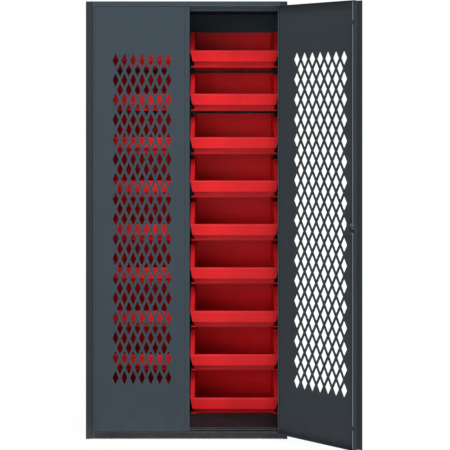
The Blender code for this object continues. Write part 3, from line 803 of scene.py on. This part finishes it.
def upright_fold(line):
    """An upright edge with a wide face on both sides, so not a cut edge."""
    a, b = (vert.co for vert in line.verts)
    return abs(a.z - b.z) > 0.05 and all(broad(face) for face in line.link_faces)


def level_fold(line):
    a, b = (vert.co for vert in line.verts)
    return abs(a.x - b.x) > 0.05 and all(broad(face) for face in line.link_faces)


def broad(face):
    """Whether a face is wider than the sheet is thick."""
    longest = max(edge.calc_length() for edge in face.edges)
    return face.calc_area() / longest > 0.0022


# %% The front frame
for side, name in side_name.items():
    stile = softened(name + "_front_stile", name + "_stile", 0.0004, 0.0013, upright_fold, 3)
    dressed(stile, frame_shaded_paint, "cabinet", [name + "_front_stile"])
for name in ("front_header", "front_sill"):
    rail = softened(name, name + "_rail", 0.0005, 0.0012, level_fold, 3)
    dressed(rail, grey_paint if name == "front_header" else sill_shaded_paint, "cabinet", [name])

# %% [markdown]
# ## The shell
#
# From outside, the shell shows where sheets meet: the top sheet caps the sides, and the
# back closes between them. Their outer corners are folds, the edges inside are cut.

# %% Panels
outer_low, outer_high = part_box("top_panel")[0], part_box("top_panel")[1]


def outer_corner(line):
    """An edge of a panel that is also an outer edge of the whole shell."""
    middle = (line.verts[0].co + line.verts[1].co) / 2
    touching = [abs(abs(middle.x) - outer_high.x) < 0.0001, abs(middle.y - outer_high.y) < 0.0001,
                abs(middle.y - outer_low.y) < 0.0001, abs(middle.z - outer_high.z) < 0.0001]
    return sum(touching) >= 2


def tight_seams(name):
    """Moves a panel's welded edges into its neighbour, as the weld does."""
    low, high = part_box(name)
    reach = 0.0007
    down, up = {"back_panel": ((0, 0, 0), (0, 0, reach)),
            "floor_panel": ((reach, reach, 0), (reach, reach, 0)),
                     "left_side_panel": ((0, reach, 0), (0, reach, reach)),
                     "right_side_panel": ((0, reach, 0), (0, reach, reach))}.get(name, ((0, 0, 0), (0, 0, 0)))

    def nudge(point):
        moved = point.copy()
        for way in range(3):
            if abs(point[way] - high[way]) < 0.0001:
                moved[way] += up[way]
            elif abs(point[way] - low[way]) < 0.0001:
                moved[way] -= down[way]
        return moved

    return nudge


for name in ("top_panel", "back_panel", "left_side_panel", "right_side_panel",
             "floor_panel", "floor_channel"):
    panel = softened(name, name + "_sheet", 0.0002, 0.0013, outer_corner, 3, nudge=tight_seams(name))
    dressed(panel, floor_shaded_paint if "floor" in name else grey_paint, "cabinet", [name])
for name in ("front_left_foot", "front_right_foot", "back_left_foot", "back_right_foot"):
    foot = softened(name, name + "_pad", 0.0008, segments=3)
    dressed(foot, sill_shaded_paint, "cabinet", [name])


# %% [markdown]
# ## Door flanges, meeting strip, rod guides
#
# Behind each face runs a flange all round, which is what makes a door stiff. In CAD it
# stands a weld gap behind the face. Here its front edge is moved up to the face, as it is
# when the sheet is folded in one piece.

# %% Flanges and strips
def closed_up(side):
    """Moves the points at a flange's front edge onto the back of the door's face."""
    back_of_face = face_depth + sheet
    inverse = door_place[side].inverted()

    def nudge(point):
        local = inverse @ point
        if local.y < back_of_face + 2 * weld_gap:
            local.y = back_of_face
        return door_place[side] @ local

    return nudge


for side, name in side_name.items():
    flange = softened(name + "_door_frame", name + "_door_flange", 0.0003, 0.0011, upright_fold, 3,
                      nudge=closed_up(side))
    dressed(flange, door_paint[side], name + "_door", [name + "_door_frame"])
strip = softened("meeting_strip", "meeting_edge", 0.0004, segments=3)
dressed(strip, grey_paint, "left_door", ["meeting_strip"])
for name in ("upper_rod_guide", "lower_rod_guide"):
    guide = softened(name, name + "_saddle", 0.0005, segments=3)
    dressed(guide, right_door_shaded_paint, "right_door", [name])


# %% [markdown]
# ## Full length hinges
#
# A piano hinge is two leaves of thin steel whose edges are slit and rolled round one pin.
# The photo shows a row of light and dark dots half an inch apart: a quarter inch knuckle of
# each leaf in turn. One knuckle is drawn as a rolled outline with a tab that runs into the
# leaf, and the row tree repeats it: one leaf takes the even places, the other the odd ones.

# %% One knuckle
barrel = 0.0029
leaf_gap = 0.0004
leaf_depth = {0: 0.028, 1: 0.006}
knuckle_slit = 0.0005
knuckle_count = 2 * round((door_high - door_low) / 0.0127)
knuckle_pitch = (door_high - door_low) / knuckle_count


def knuckle(hand):
    """A rolled barrel with its tab; hand points at the leaf's side of the axis."""
    near, far = hand * leaf_gap / 2, hand * (leaf_gap / 2 + sheet)
    tab_end = face_depth + 0.0008
    start = math.degrees(math.acos(abs(far) / barrel))
    end = math.degrees(math.acos(abs(near) / barrel))
    outline = [(far, tab_end), (near, tab_end)]
    sweep = 360 - (end - start)
    for step in range(12):
        angle = math.radians(end + sweep * step / 11)
        outline.append((hand * barrel * math.cos(angle), barrel * math.sin(angle)))
    half = (knuckle_pitch - knuckle_slit) / 2
    work = bmesh.new()
    rings = []
    for z, grow in ((-half, 0.9), (-half + 0.0003, 1.0), (half - 0.0003, 1.0), (half, 0.9)):
        rings.append(ring_mesh(work, [(x * grow, y * grow, z) for x, y in outline]))
    for first, second in zip(rings, rings[1:]):
        band(work, first, second)
    work.faces.new(rings[0])
    work.faces.new(rings[-1])
    return object_from(work, "knuckle")


# %% A leaf with its row of knuckles
def slab(low, high, edge, name, segments=2):
    """A flat bar with broken edges."""
    work = bmesh.new()
    bmesh.ops.create_cube(work, size=1.0)
    low, high = Vector(low), Vector(high)
    bmesh.ops.transform(work, matrix=Matrix.LocRotScale((low + high) / 2, None, high - low), verts=work.verts)
    bmesh.ops.bevel(work, geom=work.edges[:] + work.verts[:], offset=edge, segments=segments, profile=0.5,
                    affect="EDGES", clamp_overlap=True)
    return object_from(work, name, 0.000001)


def hinge_leaf(side, first, name, node, body, place):
    # The frame's leaf lies outside the axis and the door's leaf inside it.
    hand = side if first == 0 else -side
    row = grown(knuckle(hand), in_a_row,
                {"Count": knuckle_count // 2, "Start": (0.0, 0.0, door_low + (first + 0.5) * knuckle_pitch),
                 "Step": (0.0, 0.0, 2 * knuckle_pitch), "Finish": hinge_paint[side, first]}, "knuckles")
    across = sorted((hand * leaf_gap / 2, hand * (leaf_gap / 2 + sheet)))
    leaf = slab((across[0], face_depth, door_low), (across[1], face_depth + leaf_depth[first], door_high),
                0.0002, "leaf")
    whole = merged([row, leaf], name)
    whole.data.transform(place)
    return dressed(eased(whole, 40), hinge_paint[side, first], body, [node])


for side, name in side_name.items():
    axis = (axis_left, axis_right)[side > 0]
    still = Matrix.Translation((axis.x, axis.y, 0))
    hinge_leaf(side, 0, name + "_frame_knuckles", name + "_hinge_frame_leaf", "cabinet", still)
    hinge_leaf(side, 1, name + "_door_knuckles", name + "_hinge_door_leaf", name + "_door", door_place[side])


# %% [markdown]
# ## Turned parts
#
# Pins, rods and screws are turned, so each is a profile of radius against length swept
# round an axis. The hinge pin ends in a small dome.

# %% A lathe
def turned(stations, steps, name):
    """Sweeps (radius, along) stations round the z axis; a radius of zero closes an end."""
    work = bmesh.new()
    rings = []
    for radius, along in stations:
        if radius == 0:
            rings.append([work.verts.new((0, 0, along))])
        else:
            rings.append(ring_mesh(work, [(radius * math.cos(2 * math.pi * step / steps),
                                           radius * math.sin(2 * math.pi * step / steps), along)
                                          for step in range(steps)]))
    for first, second in zip(rings, rings[1:]):
        if len(first) == 1 or len(second) == 1:
            tip, ring = (first[0], second) if len(first) == 1 else (second[0], first)
            for step in range(steps):
                work.faces.new((ring[step], ring[(step + 1) % steps], tip))
        else:
            band(work, first, second)
    return object_from(work, name, 0.000001)


def domed(radius, low, high, rise):
    """Stations of a rod with a dome of the given rise at both ends."""
    rounds = [(radius * math.sin(math.radians(turn)), rise * (1 - math.cos(math.radians(turn))))
              for turn in (0, 30, 60, 90)]
    lower = [(r, low + up) for r, up in rounds]
    upper = [(r, high - up) for r, up in reversed(rounds)]
    return lower + upper


for side, name in side_name.items():
    axis = (axis_left, axis_right)[side > 0]
    pin = turned(domed(0.0013, door_low, door_high, 0.0008), 12, name + "_hinge_wire")
    pin.data.transform(Matrix.Translation((axis.x, axis.y, 0)))
    dressed(eased(pin, 60), zinc, "cabinet", [name + "_hinge_pin"])


# %% [markdown]
# ## The louvred panel
#
# Bins hang on louvres: short slots whose upper lip is pressed out and up, so that the
# bin's rear hook drops behind it. The real panel has them all over, at one pitch, so a bin
# can hang anywhere. The CAD panel carries only the row that each bin uses. The grid tree
# fills the panel, with every fifth row where the bins hang.

# %% Panel and louvres
panel_low, panel_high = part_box("louvre_panel")
bin_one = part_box("bin_right_1")
bin_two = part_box("bin_right_2")
bin_pitch = bin_two[0].z - bin_one[0].z
back_rise = 0.016
bin_middle = (bin_one[0].x + bin_one[1].x) / 2
louvre_reach = 0.008
louvre_face = panel_low.y + louvre_reach
rows_per_bin = 5


def louvre(width, foot, reach, tall):
    """One pressed louvre: a tongue with closed ends that swells out of the sheet."""
    work = bmesh.new()
    # Stations from the root up to the lip: height share, distance out, half width share.
    stations = [(-0.12, 0.0, 1.0), (0.0, 0.25, 0.985), (0.3, 0.66, 0.96),
            (0.65, 0.9, 0.95), (1.0, 1.0, 0.945)]
    thick = sheet * 0.7
    rings = []
    for rise, out, share in stations:
        half = width / 2 * share
        y = louvre_face - reach * out
        z = foot + tall * rise
        inner = y + thick
        rings.append(ring_mesh(work, [(-half, inner, z), (-half, y + thick * 0.4, z), (-half + 0.003, y, z),
                                      (half - 0.003, y, z), (half, y + thick * 0.4, z), (half, inner, z)]))
    for first, second in zip(rings, rings[1:]):
        band(work, first, second)
    work.faces.new(rings[0])
    work.faces.new(rings[-1])
    return object_from(work, "louvre")


def folded(profile, low, high, name, radius):
    """A folded sheet: an outline of (x, y) points carried upwards, with rounded bends."""
    work = bmesh.new()
    ends = [ring_mesh(work, [(x, y, z) for x, y in profile]) for z in (low, high)]
    band(work, *ends)
    for end in ends:
        work.faces.new(end)
    bmesh.ops.connect_verts_concave(work, faces=work.faces[:])
    made = object_from(work, name, 0.000001)
    soft = made.modifiers.new("radius", "BEVEL")
    soft.limit_method = "ANGLE"
    soft.angle_limit = math.radians(30)
    soft.width = radius
    soft.segments = 2
    return plain(made)


def louvred_panel():
    louvre_lift = bin_one[1].z - back_rise - 0.007 - 0.0025 - weld_gap - 0.014
    pieces = []
    for side in (-1, 1):
        rows = 9 * rows_per_bin - 2
        row_step = bin_pitch / rows_per_bin
        first = louvre_lift - (rows_per_bin - 2) * row_step
        centre = (side * bin_middle, 0.0, first + (rows - 1) * row_step / 2)
        pieces.append(grown(louvre(0.0924, 0.0, louvre_reach - 0.0004, 0.014), on_a_grid,
                            {"Columns": 3, "Rows": rows, "Column pitch": 0.1433, "Row pitch": row_step,
                             "Centre": centre, "Finish": grey_paint}, "louvres"))
    half, rear, foot = panel_high.x, panel_high.y, 0.020
    right = [(half, louvre_face), (half, rear), (half - foot, rear), (half - foot, rear - sheet),
             (half - sheet, rear - sheet), (half - sheet, louvre_face + sheet)]
    profile = right + [(-x, y) for x, y in reversed(right)]
    pieces.append(folded(profile, panel_low.z, panel_high.z, "panel", 0.0006))
    return merged(pieces, "louvred_back")


dressed(eased(louvred_panel(), 40), grey_paint, "cabinet", ["louvre_panel"])


# %% [markdown]
# ## The hopper bins
#
# A bin is one moulding: a tub with a sloping hopper front, a wide rim that the next bin can
# stand on, a front lip that is a little wider than the tub, feet below the corners, gussets
# below the rim and a hook along the back. Moulded parts have no sharp edge and even walls.
# The tub is a side profile carried across, rounded with a bevel and hollowed by a smaller
# copy of itself. Rim, lip, feet and hook are joined to it before it is hollowed, so the
# inside stays clean.

# %% Bin sizes, from the CAD bin
bin_low, bin_high = bin_one
bin_length = bin_high.y - bin_low.y
bin_height = bin_high.z - bin_low.z - back_rise
rim_half = (bin_high.x - bin_low.x) / 2
tub_half = rim_half - 0.017
wall = 0.0025
lip_top = 0.078
slope_run = 0.105
toe = (0.026, 0.030)
bin_back = bin_length - louvre_reach
print("bin in mm:", [round(1000 * v, 1) for v in (2 * rim_half, bin_length, bin_height)])


def profile_bar(outline, half, name, radius=0.0, segments=3, over=30.0):
    """A side profile of (y, z) points carried from -half to +half, with rounded edges."""
    work = bmesh.new()
    ends = [ring_mesh(work, [(x, y, z) for y, z in outline]) for x in (-half, half)]
    band(work, *ends)
    work.faces.new(ends[0])
    work.faces.new(ends[1])
    made = object_from(work, name, 0.000001)
    if radius:
        soft = made.modifiers.new("radius", "BEVEL")
        soft.limit_method = "ANGLE"
        soft.angle_limit = math.radians(over)
        soft.width = radius
        soft.segments = segments
        made = plain(made)
    return made


# %% Tub, rim, lip, feet, hook and gussets
def gussets(side):
    """A row of small triangular ribs between the tub's side and the rim."""
    work = bmesh.new()
    top_of_rib = bin_height - 0.003
    reach, drop, half = 0.0125, 0.017, 0.0009
    root = side * (tub_half - 0.001)
    tip = side * (tub_half + reach)
    rings = [ring_mesh(work, [(root, y, top_of_rib), (tip, y, top_of_rib), (tip, y, top_of_rib - 0.003),
                              (root, y, top_of_rib - drop)]) for y in (-half, half)]
    band(work, *rings)
    work.faces.new(rings[0])
    work.faces.new(rings[1])
    rib = object_from(work, "rib")
    return grown(rib, in_a_row, {"Count": 6, "Start": (0.0, 0.135, 0.0), "Step": (0.0, 0.042, 0.0),
                                 "Finish": red}, "ribs")


def hopper_bin():
    tub_back = bin_back - 0.001
    mid_rim = 0.002
    tub_outline = [(toe[0], 0.0), (toe[0], toe[1]), (0.0022, toe[1]), (0.001, lip_top - mid_rim),
                   (slope_run, bin_height - mid_rim), (tub_back, bin_height - mid_rim),
                           (tub_back - 0.006, 0.0)]
    tub = profile_bar(tub_outline, tub_half, "tub", 0.0032, 3)
    rim_outline = [(0.0, lip_top), (slope_run, bin_height), (bin_back, bin_height),
                   (bin_back, bin_height - 0.004), (slope_run + 0.002, bin_height - 0.004),
                   (0.002, lip_top - 0.004)]
    rim = profile_bar(rim_outline, rim_half, "rim", 0.0011, 2)
    bin_body = combined(tub, rim, "UNION")
    for side in (-1, 1):
        # The rim's outer edge turns down a little, which stiffens it.
        turn = [(0.0012, lip_top - 0.001), (slope_run + 0.0006, bin_height - 0.001),
                (bin_back - 0.0008, bin_height - 0.001), (bin_back - 0.0008, bin_height - 0.0085),
                (slope_run + 0.0035, bin_height - 0.0085), (0.0032, lip_top - 0.0065)]
        edge = profile_bar(turn, 0.001, "edge", 0.0005, 1)
        edge.data.transform(Matrix.Translation((side * (rim_half - 0.0013), 0, 0)))
        bin_body = combined(bin_body, edge, "UNION")
    low_half, high_half = rim_half - 0.0115, rim_half - 0.0006
    shape = [(-low_half, toe[1] - 0.002), (low_half, toe[1] - 0.002), (high_half, lip_top - 0.004),
             (high_half, lip_top - 0.001), (-high_half, lip_top - 0.001), (-high_half, lip_top - 0.004)]
    work = bmesh.new()
    plates = [ring_mesh(work, [(x, y, z) for x, z in shape]) for y in (0.0, 0.004)]
    band(work, *plates)
    work.faces.new(plates[0])
    work.faces.new(plates[1])
    lip = object_from(work, "lip")
    soft = lip.modifiers.new("radius", "BEVEL")
    soft.limit_method = "ANGLE"
    soft.angle_limit = math.radians(30)
    soft.width = 0.0014
    soft.segments = 3
    bin_body = combined(bin_body, plain(lip), "UNION")
    for side in (-1, 1):
        across = sorted((side * (tub_half - 0.009), side * (tub_half + 0.013)))
        foot = slab((across[0], toe[0] - 0.011, 0.0004),
                (across[1], toe[0] + 0.025, 0.007), 0.0012, "foot", 2)
        bin_body = combined(bin_body, foot, "UNION")
        bin_body = combined(bin_body, gussets(side), "UNION")
    high, half = bin_height + back_rise, rim_half - 0.001
    shape = soft_rectangle((-half, bin_height - 0.003), (half, high), 0.0018)
    work = bmesh.new()
    plates = []
    for y, inset in ((tub_back - wall / 2, 0.0004),
            (tub_back - wall / 2 + 0.0004, 0.0), (tub_back + 0.0001, 0.0),
                     (tub_back + 0.0005, 0.0004)):
        plates.append(ring_mesh(work, [(x * (1 - inset / half), y, min(z, high - inset)) for x, z in shape]))
    for first, second in zip(plates, plates[1:]):
        band(work, first, second)
    work.faces.new(plates[0])
    work.faces.new(plates[-1])
    bin_body = combined(bin_body, object_from(work, "raised", 0.000001), "UNION")
    under = bin_height - 0.007 - wall
    root = tub_back - wall / 2
    hook_outline = [(root, under), (bin_length - wall, under), (bin_length - wall, under - 0.0067),
                    (bin_length, under - 0.0067), (bin_length, under + wall), (root, under + wall)]
    hook = profile_bar(hook_outline, tub_half - 0.008, "hook", 0.0006, 2)
    bin_body = combined(bin_body, hook, "UNION")
    top = bin_height + 0.01
    hollow = [(toe[0] + wall, wall), (toe[0] + wall, toe[1] + wall), (0.0065, toe[1] + wall),
              (0.0042, lip_top + 0.004), (0.0042, top),
                      (tub_back - wall, top), (tub_back - 0.006 - wall, wall)]
    inside = profile_bar(hollow, tub_half - wall, "inside", 0.0024, 3)
    return combined(bin_body, inside, "DIFFERENCE")


def edge_marked(obj, narrow):
    """Marks the narrow slanted faces that round an edge, which are painted pale as wear and highlight, and the
    faces below the lip, which are painted darker as shade.
    """
    work = bmesh.new()
    work.from_mesh(obj.data)
    for name in ("edge_wear_and_highlight", "painted_shade_under_lip"):
        work.faces.layers.float.new(name)
    wear_and_highlight = work.faces.layers.float["edge_wear_and_highlight"]
    below = work.faces.layers.float["painted_shade_under_lip"]
    for face in work.faces:
        middle, facing = face.calc_center_median(), face.normal
        longest = max(line.calc_length() for line in face.edges)
        slanted = max(abs(part) for part in facing) < 0.99
        # Faces under the lip get the painted shade mark.
        face[below] = float(middle.z < toe[1] and middle.y < 0.06 and facing.y < 0.1)
        face[wear_and_highlight] = float(slanted and face.calc_area() / longest < narrow) * (1 - face[below])
    work.to_mesh(obj.data)
    work.free()
    return obj


moulding = eased(edge_marked(hopper_bin(), 0.0011), 46)
print("one bin:", len(moulding.data.polygons), "faces")

# %% Eighteen bins
for side, name in side_name.items():
    for row in range(1, 10):
        node = f"bin_{name}_{row}"
        low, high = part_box(node)
        mesh = moulding.data.copy()
        mesh.transform(Matrix.Translation(((low.x + high.x) / 2, low.y, low.z)))
        hung = bpy.data.objects.new(f"hopper_{name}_{row}", mesh)
        bpy.context.scene.collection.objects.link(hung)
        dressed(hung, red, node, [node])
bpy.data.objects.remove(moulding)

# %% [markdown]
# ## Latch and handle
#
# Inside the door a crank turns with the handle, and its two pins draw the rods. The rods
# are round bar with yokes welded to them. They keep their CAD shape, with broken edges. The
# crank and the yokes are painted like the door here, which the photo doesn't show clearly:
# it shows no yoke at all, and paint makes them stand out least. Only the bars stay zinc.

# %% Latch parts
def yoke_painted(part):
    """Gives the yoke, which is all that lies off the rod's own line, the door's paint."""
    part.data.materials.append(right_door_shaded_paint)
    bar = [vert.co for vert in part.data.vertices if abs(vert.co.z - door_middle) > 0.2]
    axis_x = (min(point.x for point in bar) + max(point.x for point in bar)) / 2
    axis_y = (min(point.y for point in bar) + max(point.y for point in bar)) / 2
    for face in part.data.polygons:
        if math.hypot(face.center.x - axis_x, face.center.y - axis_y) > 0.0052:
            face.material_index = 1
    print(part.name, "painted faces:", sum(face.material_index for face in part.data.polygons))


for node, name, body, edge in (("upper_rod", "upper_latch_rod", "upper_rod", 0.0005),
                               ("lower_rod", "lower_latch_rod", "lower_rod", 0.0005),
                               ("handle_spindle", "handle_shaft", "handle", 0.0005),
                               ("lock_cylinder", "key_cylinder", "lock", 0.0003)):
    part = softened(node, name, edge, segments=2)
    dressed(part, zinc, body, [node])
    if "rod" in node:
        yoke_painted(part)
cam = softened("latch_crank", "latch_cam", 0.0006, segments=2)
dressed(cam, right_door_shaded_paint, "handle", ["latch_crank"])

# %% [markdown]
# ## The turn handle
#
# The handle is a zinc die casting, enamelled black: a bar with full rounded sections that
# narrows towards its ends, on a turned boss that takes the lock. Two pan head screws hold
# its plate to the door. Sections of a die casting are never square, because the melt has to
# flow and the die has to open, so the bar is lofted through superellipses.

# %% A lofted bar on a turned boss
handle_place = door_place[1] @ Matrix.Translation((-spindle_across, 0, door_middle))
plate_face = face_depth - weld_gap - 0.003
boss_root = plate_face - weld_gap
boss_face = boss_root - 0.032


def lofted_bar(half_length, half_width, end_width, half_depth, name):
    """Superellipse sections along z that narrow towards both rounded ends."""
    work = bmesh.new()
    tips = [(1.0, 0.35), (0.992, 0.62), (0.97, 0.83), (0.93, 0.95), (0.86, 1.0), (0.6, 1.0), (0.3, 1.0)]
    stations = [(-share, size) for share, size in tips] + [(0.0, 1.0)] + list(reversed(tips))
    rings = []
    for share, size in stations:
        across = (half_width + (end_width - half_width) * abs(share)) * size
        loop = []
        for step in range(20):
            turn = 2 * math.pi * step / 20
            x = math.copysign(abs(math.cos(turn)) ** 0.72, math.cos(turn)) * across
            y = math.copysign(abs(math.sin(turn)) ** 0.72, math.sin(turn)) * half_depth * size
            loop.append((x, y, half_length * share))
        rings.append(ring_mesh(work, loop))
    for first, second in zip(rings, rings[1:]):
        band(work, first, second)
    work.faces.new(rings[0])
    work.faces.new(rings[-1])
    return object_from(work, name, 0.000001)


def turn_handle():
    bar = lofted_bar(0.042, 0.007, 0.005, 0.0059, "turn_handle")
    bar.data.transform(Matrix.Translation((0, boss_face + 0.0003 + 0.006, 0)))
    tall = boss_root - boss_face
    stations = [(0, 0.0), (0.0106, 0.0), (0.011, 0.0004), (0.011, 0.0034), (0.0104, 0.0046), (0.0101, 0.006),
                (0.0101, tall - 0.012), (0.0104, tall - 0.008),
                        (0.0108, tall - 0.003), (0.0106, tall - 0.0009),
                (0.0099, tall - 0.0002), (0.0088, tall), (0.0062, tall), (0.0058, tall - 0.0004),
                (0.0058, tall - 0.012), (0, tall - 0.012)]
    boss = turned(stations, 40, "boss")
    boss.data.transform(Matrix.Translation((0, boss_root, 0)) @ Matrix.Rotation(math.pi / 2, 4, "X"))
    keep_clear = turned([(0, 0), (0.0058, 0), (0.0058, 0.02), (0, 0.02)], 40, "clear")
    keep_clear.data.transform(Matrix.Translation((0, boss_face + 0.012, 0))
            @ Matrix.Rotation(math.pi / 2, 4, "X"))
    bar = combined(bar, keep_clear, "DIFFERENCE")
    whole = combined(bar, boss, "UNION")
    whole.data.transform(handle_place)
    whole.name = "turn_handle"
    return eased(whole, 40)


dressed(turn_handle(), black, "handle", ["handle_grip"])


# %% The plate and its screws
def pan_screw(up):
    """A pan head with a cross recess, on the plate's face."""
    head = turned([(0, -0.0004), (0.0033, -0.0004), (0.0035, 0.0), (0.0034, 0.0006), (0.0028, 0.0012),
                   (0.0017, 0.0016), (0, 0.0017)], 24, "screw")
    for size in ((0.0019, 0.00035), (0.00035, 0.0019)):
        slot = slab((-size[0], -size[1], 0.0007), (size[0], size[1], 0.003), 0.00008, "slot", 1)
        head = combined(head, slot, "DIFFERENCE")
    head.data.transform(handle_place @ Matrix.Translation((0, plate_face, up))
                        @ Matrix.Rotation(math.pi / 2, 4, "X"))
    return head


plate = softened("handle_plate", "handle_rose", 0.0009, segments=3)
dressed(plate, black, "right_door", ["handle_plate"])
for name, up in (("upper", 0.044), ("lower", -0.044)):
    screw = pan_screw(up)
    screw.name = name + "_plate_screw"
    dressed(eased(screw, 40), zinc, "right_door")


# %% [markdown]
# ## Floor, light and camera
#
# The photo is a cut-out on white. The floor is pale, and what the camera sees of it is
# mostly plain white with a faint shadow. The light is soft and comes a little from the
# right, because the faces of the bins that look left are darker than those that look right.

# %% White floor and world
def white_floor():
    floor_finish = Finish("pale_floor", Roughness=0.6)
    tree = floor_finish.tree
    grain = floor_finish.noise(3.0, 3.0)
    floor_finish.feed("Base Color", floor_finish.mixed(grain, colour(236, 236, 236), colour(244, 244, 244)))
    path = tree.nodes.new("ShaderNodeLightPath")
    seen = (Wire(floor_finish, path.outputs["Is Camera Ray"]) + Wire(floor_finish, path.outputs["Is Glossy Ray"])
            + Wire(floor_finish, path.outputs["Is Transmission Ray"]))
    parts = floor_finish.node("ShaderNodeSeparateXYZ", {}, {0: floor_finish.place}).socket.node.outputs
    covered = 1.0
    for side, edge in (("X", outer_high.x), ("Y", outer_high.y)):
        off_middle = floor_finish.node("ShaderNodeMath", {"operation": "ABSOLUTE"},
                                       {0: Wire(floor_finish, parts[side])})
        covered = covered * floor_finish.between(off_middle, edge - 0.004, edge, 1.0, 0.0)
    glow = tree.nodes.new("ShaderNodeEmission")
    glow.inputs["Strength"].default_value = 1.07
    mix = tree.nodes.new("ShaderNodeMixShader")
    away = floor_finish.node("ShaderNodeVectorMath", {"operation": "LENGTH"},
                             {0: floor_finish.place}, out="Value")
    share = floor_finish.between(away, 3.0, 5.5, 0.86, 1.0)
    tree.links.new((seen * (1.0 - covered) * share).socket, mix.inputs[0])
    tree.links.new(floor_finish.shader.outputs[0], mix.inputs[1])
    tree.links.new(glow.outputs[0], mix.inputs[2])
    tree.links.new(mix.outputs[0], tree.nodes["Material Output"].inputs["Surface"])
    work = bmesh.new()
    bmesh.ops.create_circle(work, cap_ends=True, segments=64, radius=40.0)
    floor = object_from(work, "studio_floor")
    floor.data.materials.append(floor_finish.material)
    floor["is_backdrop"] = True
    return floor


def white_world(level):
    world = bpy.data.worlds.new("studio")
    bpy.context.scene.world = world
    world.use_nodes = True
    tree = world.node_tree
    path = tree.nodes.new("ShaderNodeLightPath")
    seen = tree.nodes.new("ShaderNodeMath")
    seen.operation = "ADD"
    seen.use_clamp = True
    tree.links.new(path.outputs["Is Camera Ray"], seen.inputs[0])
    tree.links.new(path.outputs["Is Glossy Ray"], seen.inputs[1])
    also = tree.nodes.new("ShaderNodeMath")
    also.operation = "ADD"
    also.use_clamp = True
    tree.links.new(seen.outputs[0], also.inputs[0])
    tree.links.new(path.outputs["Is Transmission Ray"], also.inputs[1])
    strength = tree.nodes.new("ShaderNodeMapRange")
    strength.inputs[3].default_value = level
    strength.inputs[4].default_value = 1.0
    tree.links.new(also.outputs[0], strength.inputs[0])
    background = tree.nodes["Background"]
    background.inputs["Color"].default_value = (1, 1, 1, 1)
    tree.links.new(strength.outputs[0], background.inputs["Strength"])


white_floor()
white_world(0.08)


# %% Soft lamps
def softbox(name, where, target, size, power):
    data = bpy.data.lights.new(name, "AREA")
    data.shape = "RECTANGLE"
    data.size, data.size_y = size
    data.energy = power
    lamp = bpy.data.objects.new(name, data)
    lamp.location = where
    lamp.rotation_euler = (Vector(target) - Vector(where)).to_track_quat("-Z", "Y").to_euler()
    lamp.visible_glossy = False
    bpy.context.scene.collection.objects.link(lamp)


softbox("key", (0.9, -8.0, 8.5), (0, -0.2, 1.0), (2.6, 2.6), 600)
softbox("side", (5.6, -4.6, 3.6), (0, -0.2, 1.0), (2.4, 2.4), 300)
softbox("front", (-1.6, -6.0, 1.9), (0, 0, 1.0), (2.2, 1.4), 75)
softbox("low", (0.3, -6.4, 0.9), (0, 0, 0.9), (1.2, 0.8), 45)
softbox("back", (0.5, 4.2, 3.2), (0, 0, 1.2), (3.0, 2.0), 110)

# %% [markdown]
# ## The camera
#
# The lattice of openings in both doors gives the photo's camera: level, 4.5 m in front of
# the cabinet, and lower in the frame than its middle, so the lens is shifted.

# %% Camera at the photo's place
camera_data = bpy.data.cameras.new("camera")
camera_data.sensor_width = 36.0
camera_data.lens = 79.5
camera_data.shift_y = -0.2541
camera_data.clip_end = 200.0
camera = bpy.data.objects.new("camera", camera_data)
camera.location = (0.174, -4.8128, 1.490)
camera.rotation_euler = (math.pi / 2, 0, 0)
bpy.context.scene.collection.objects.link(camera)
bpy.context.scene.camera = camera
bpy.context.scene.view_settings.view_transform = "Standard"

# %% The size of what the scene shows
low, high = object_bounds()
print("visual box in mm:", [round(1000 * (b - a), 1) for a, b in zip(low, high)])
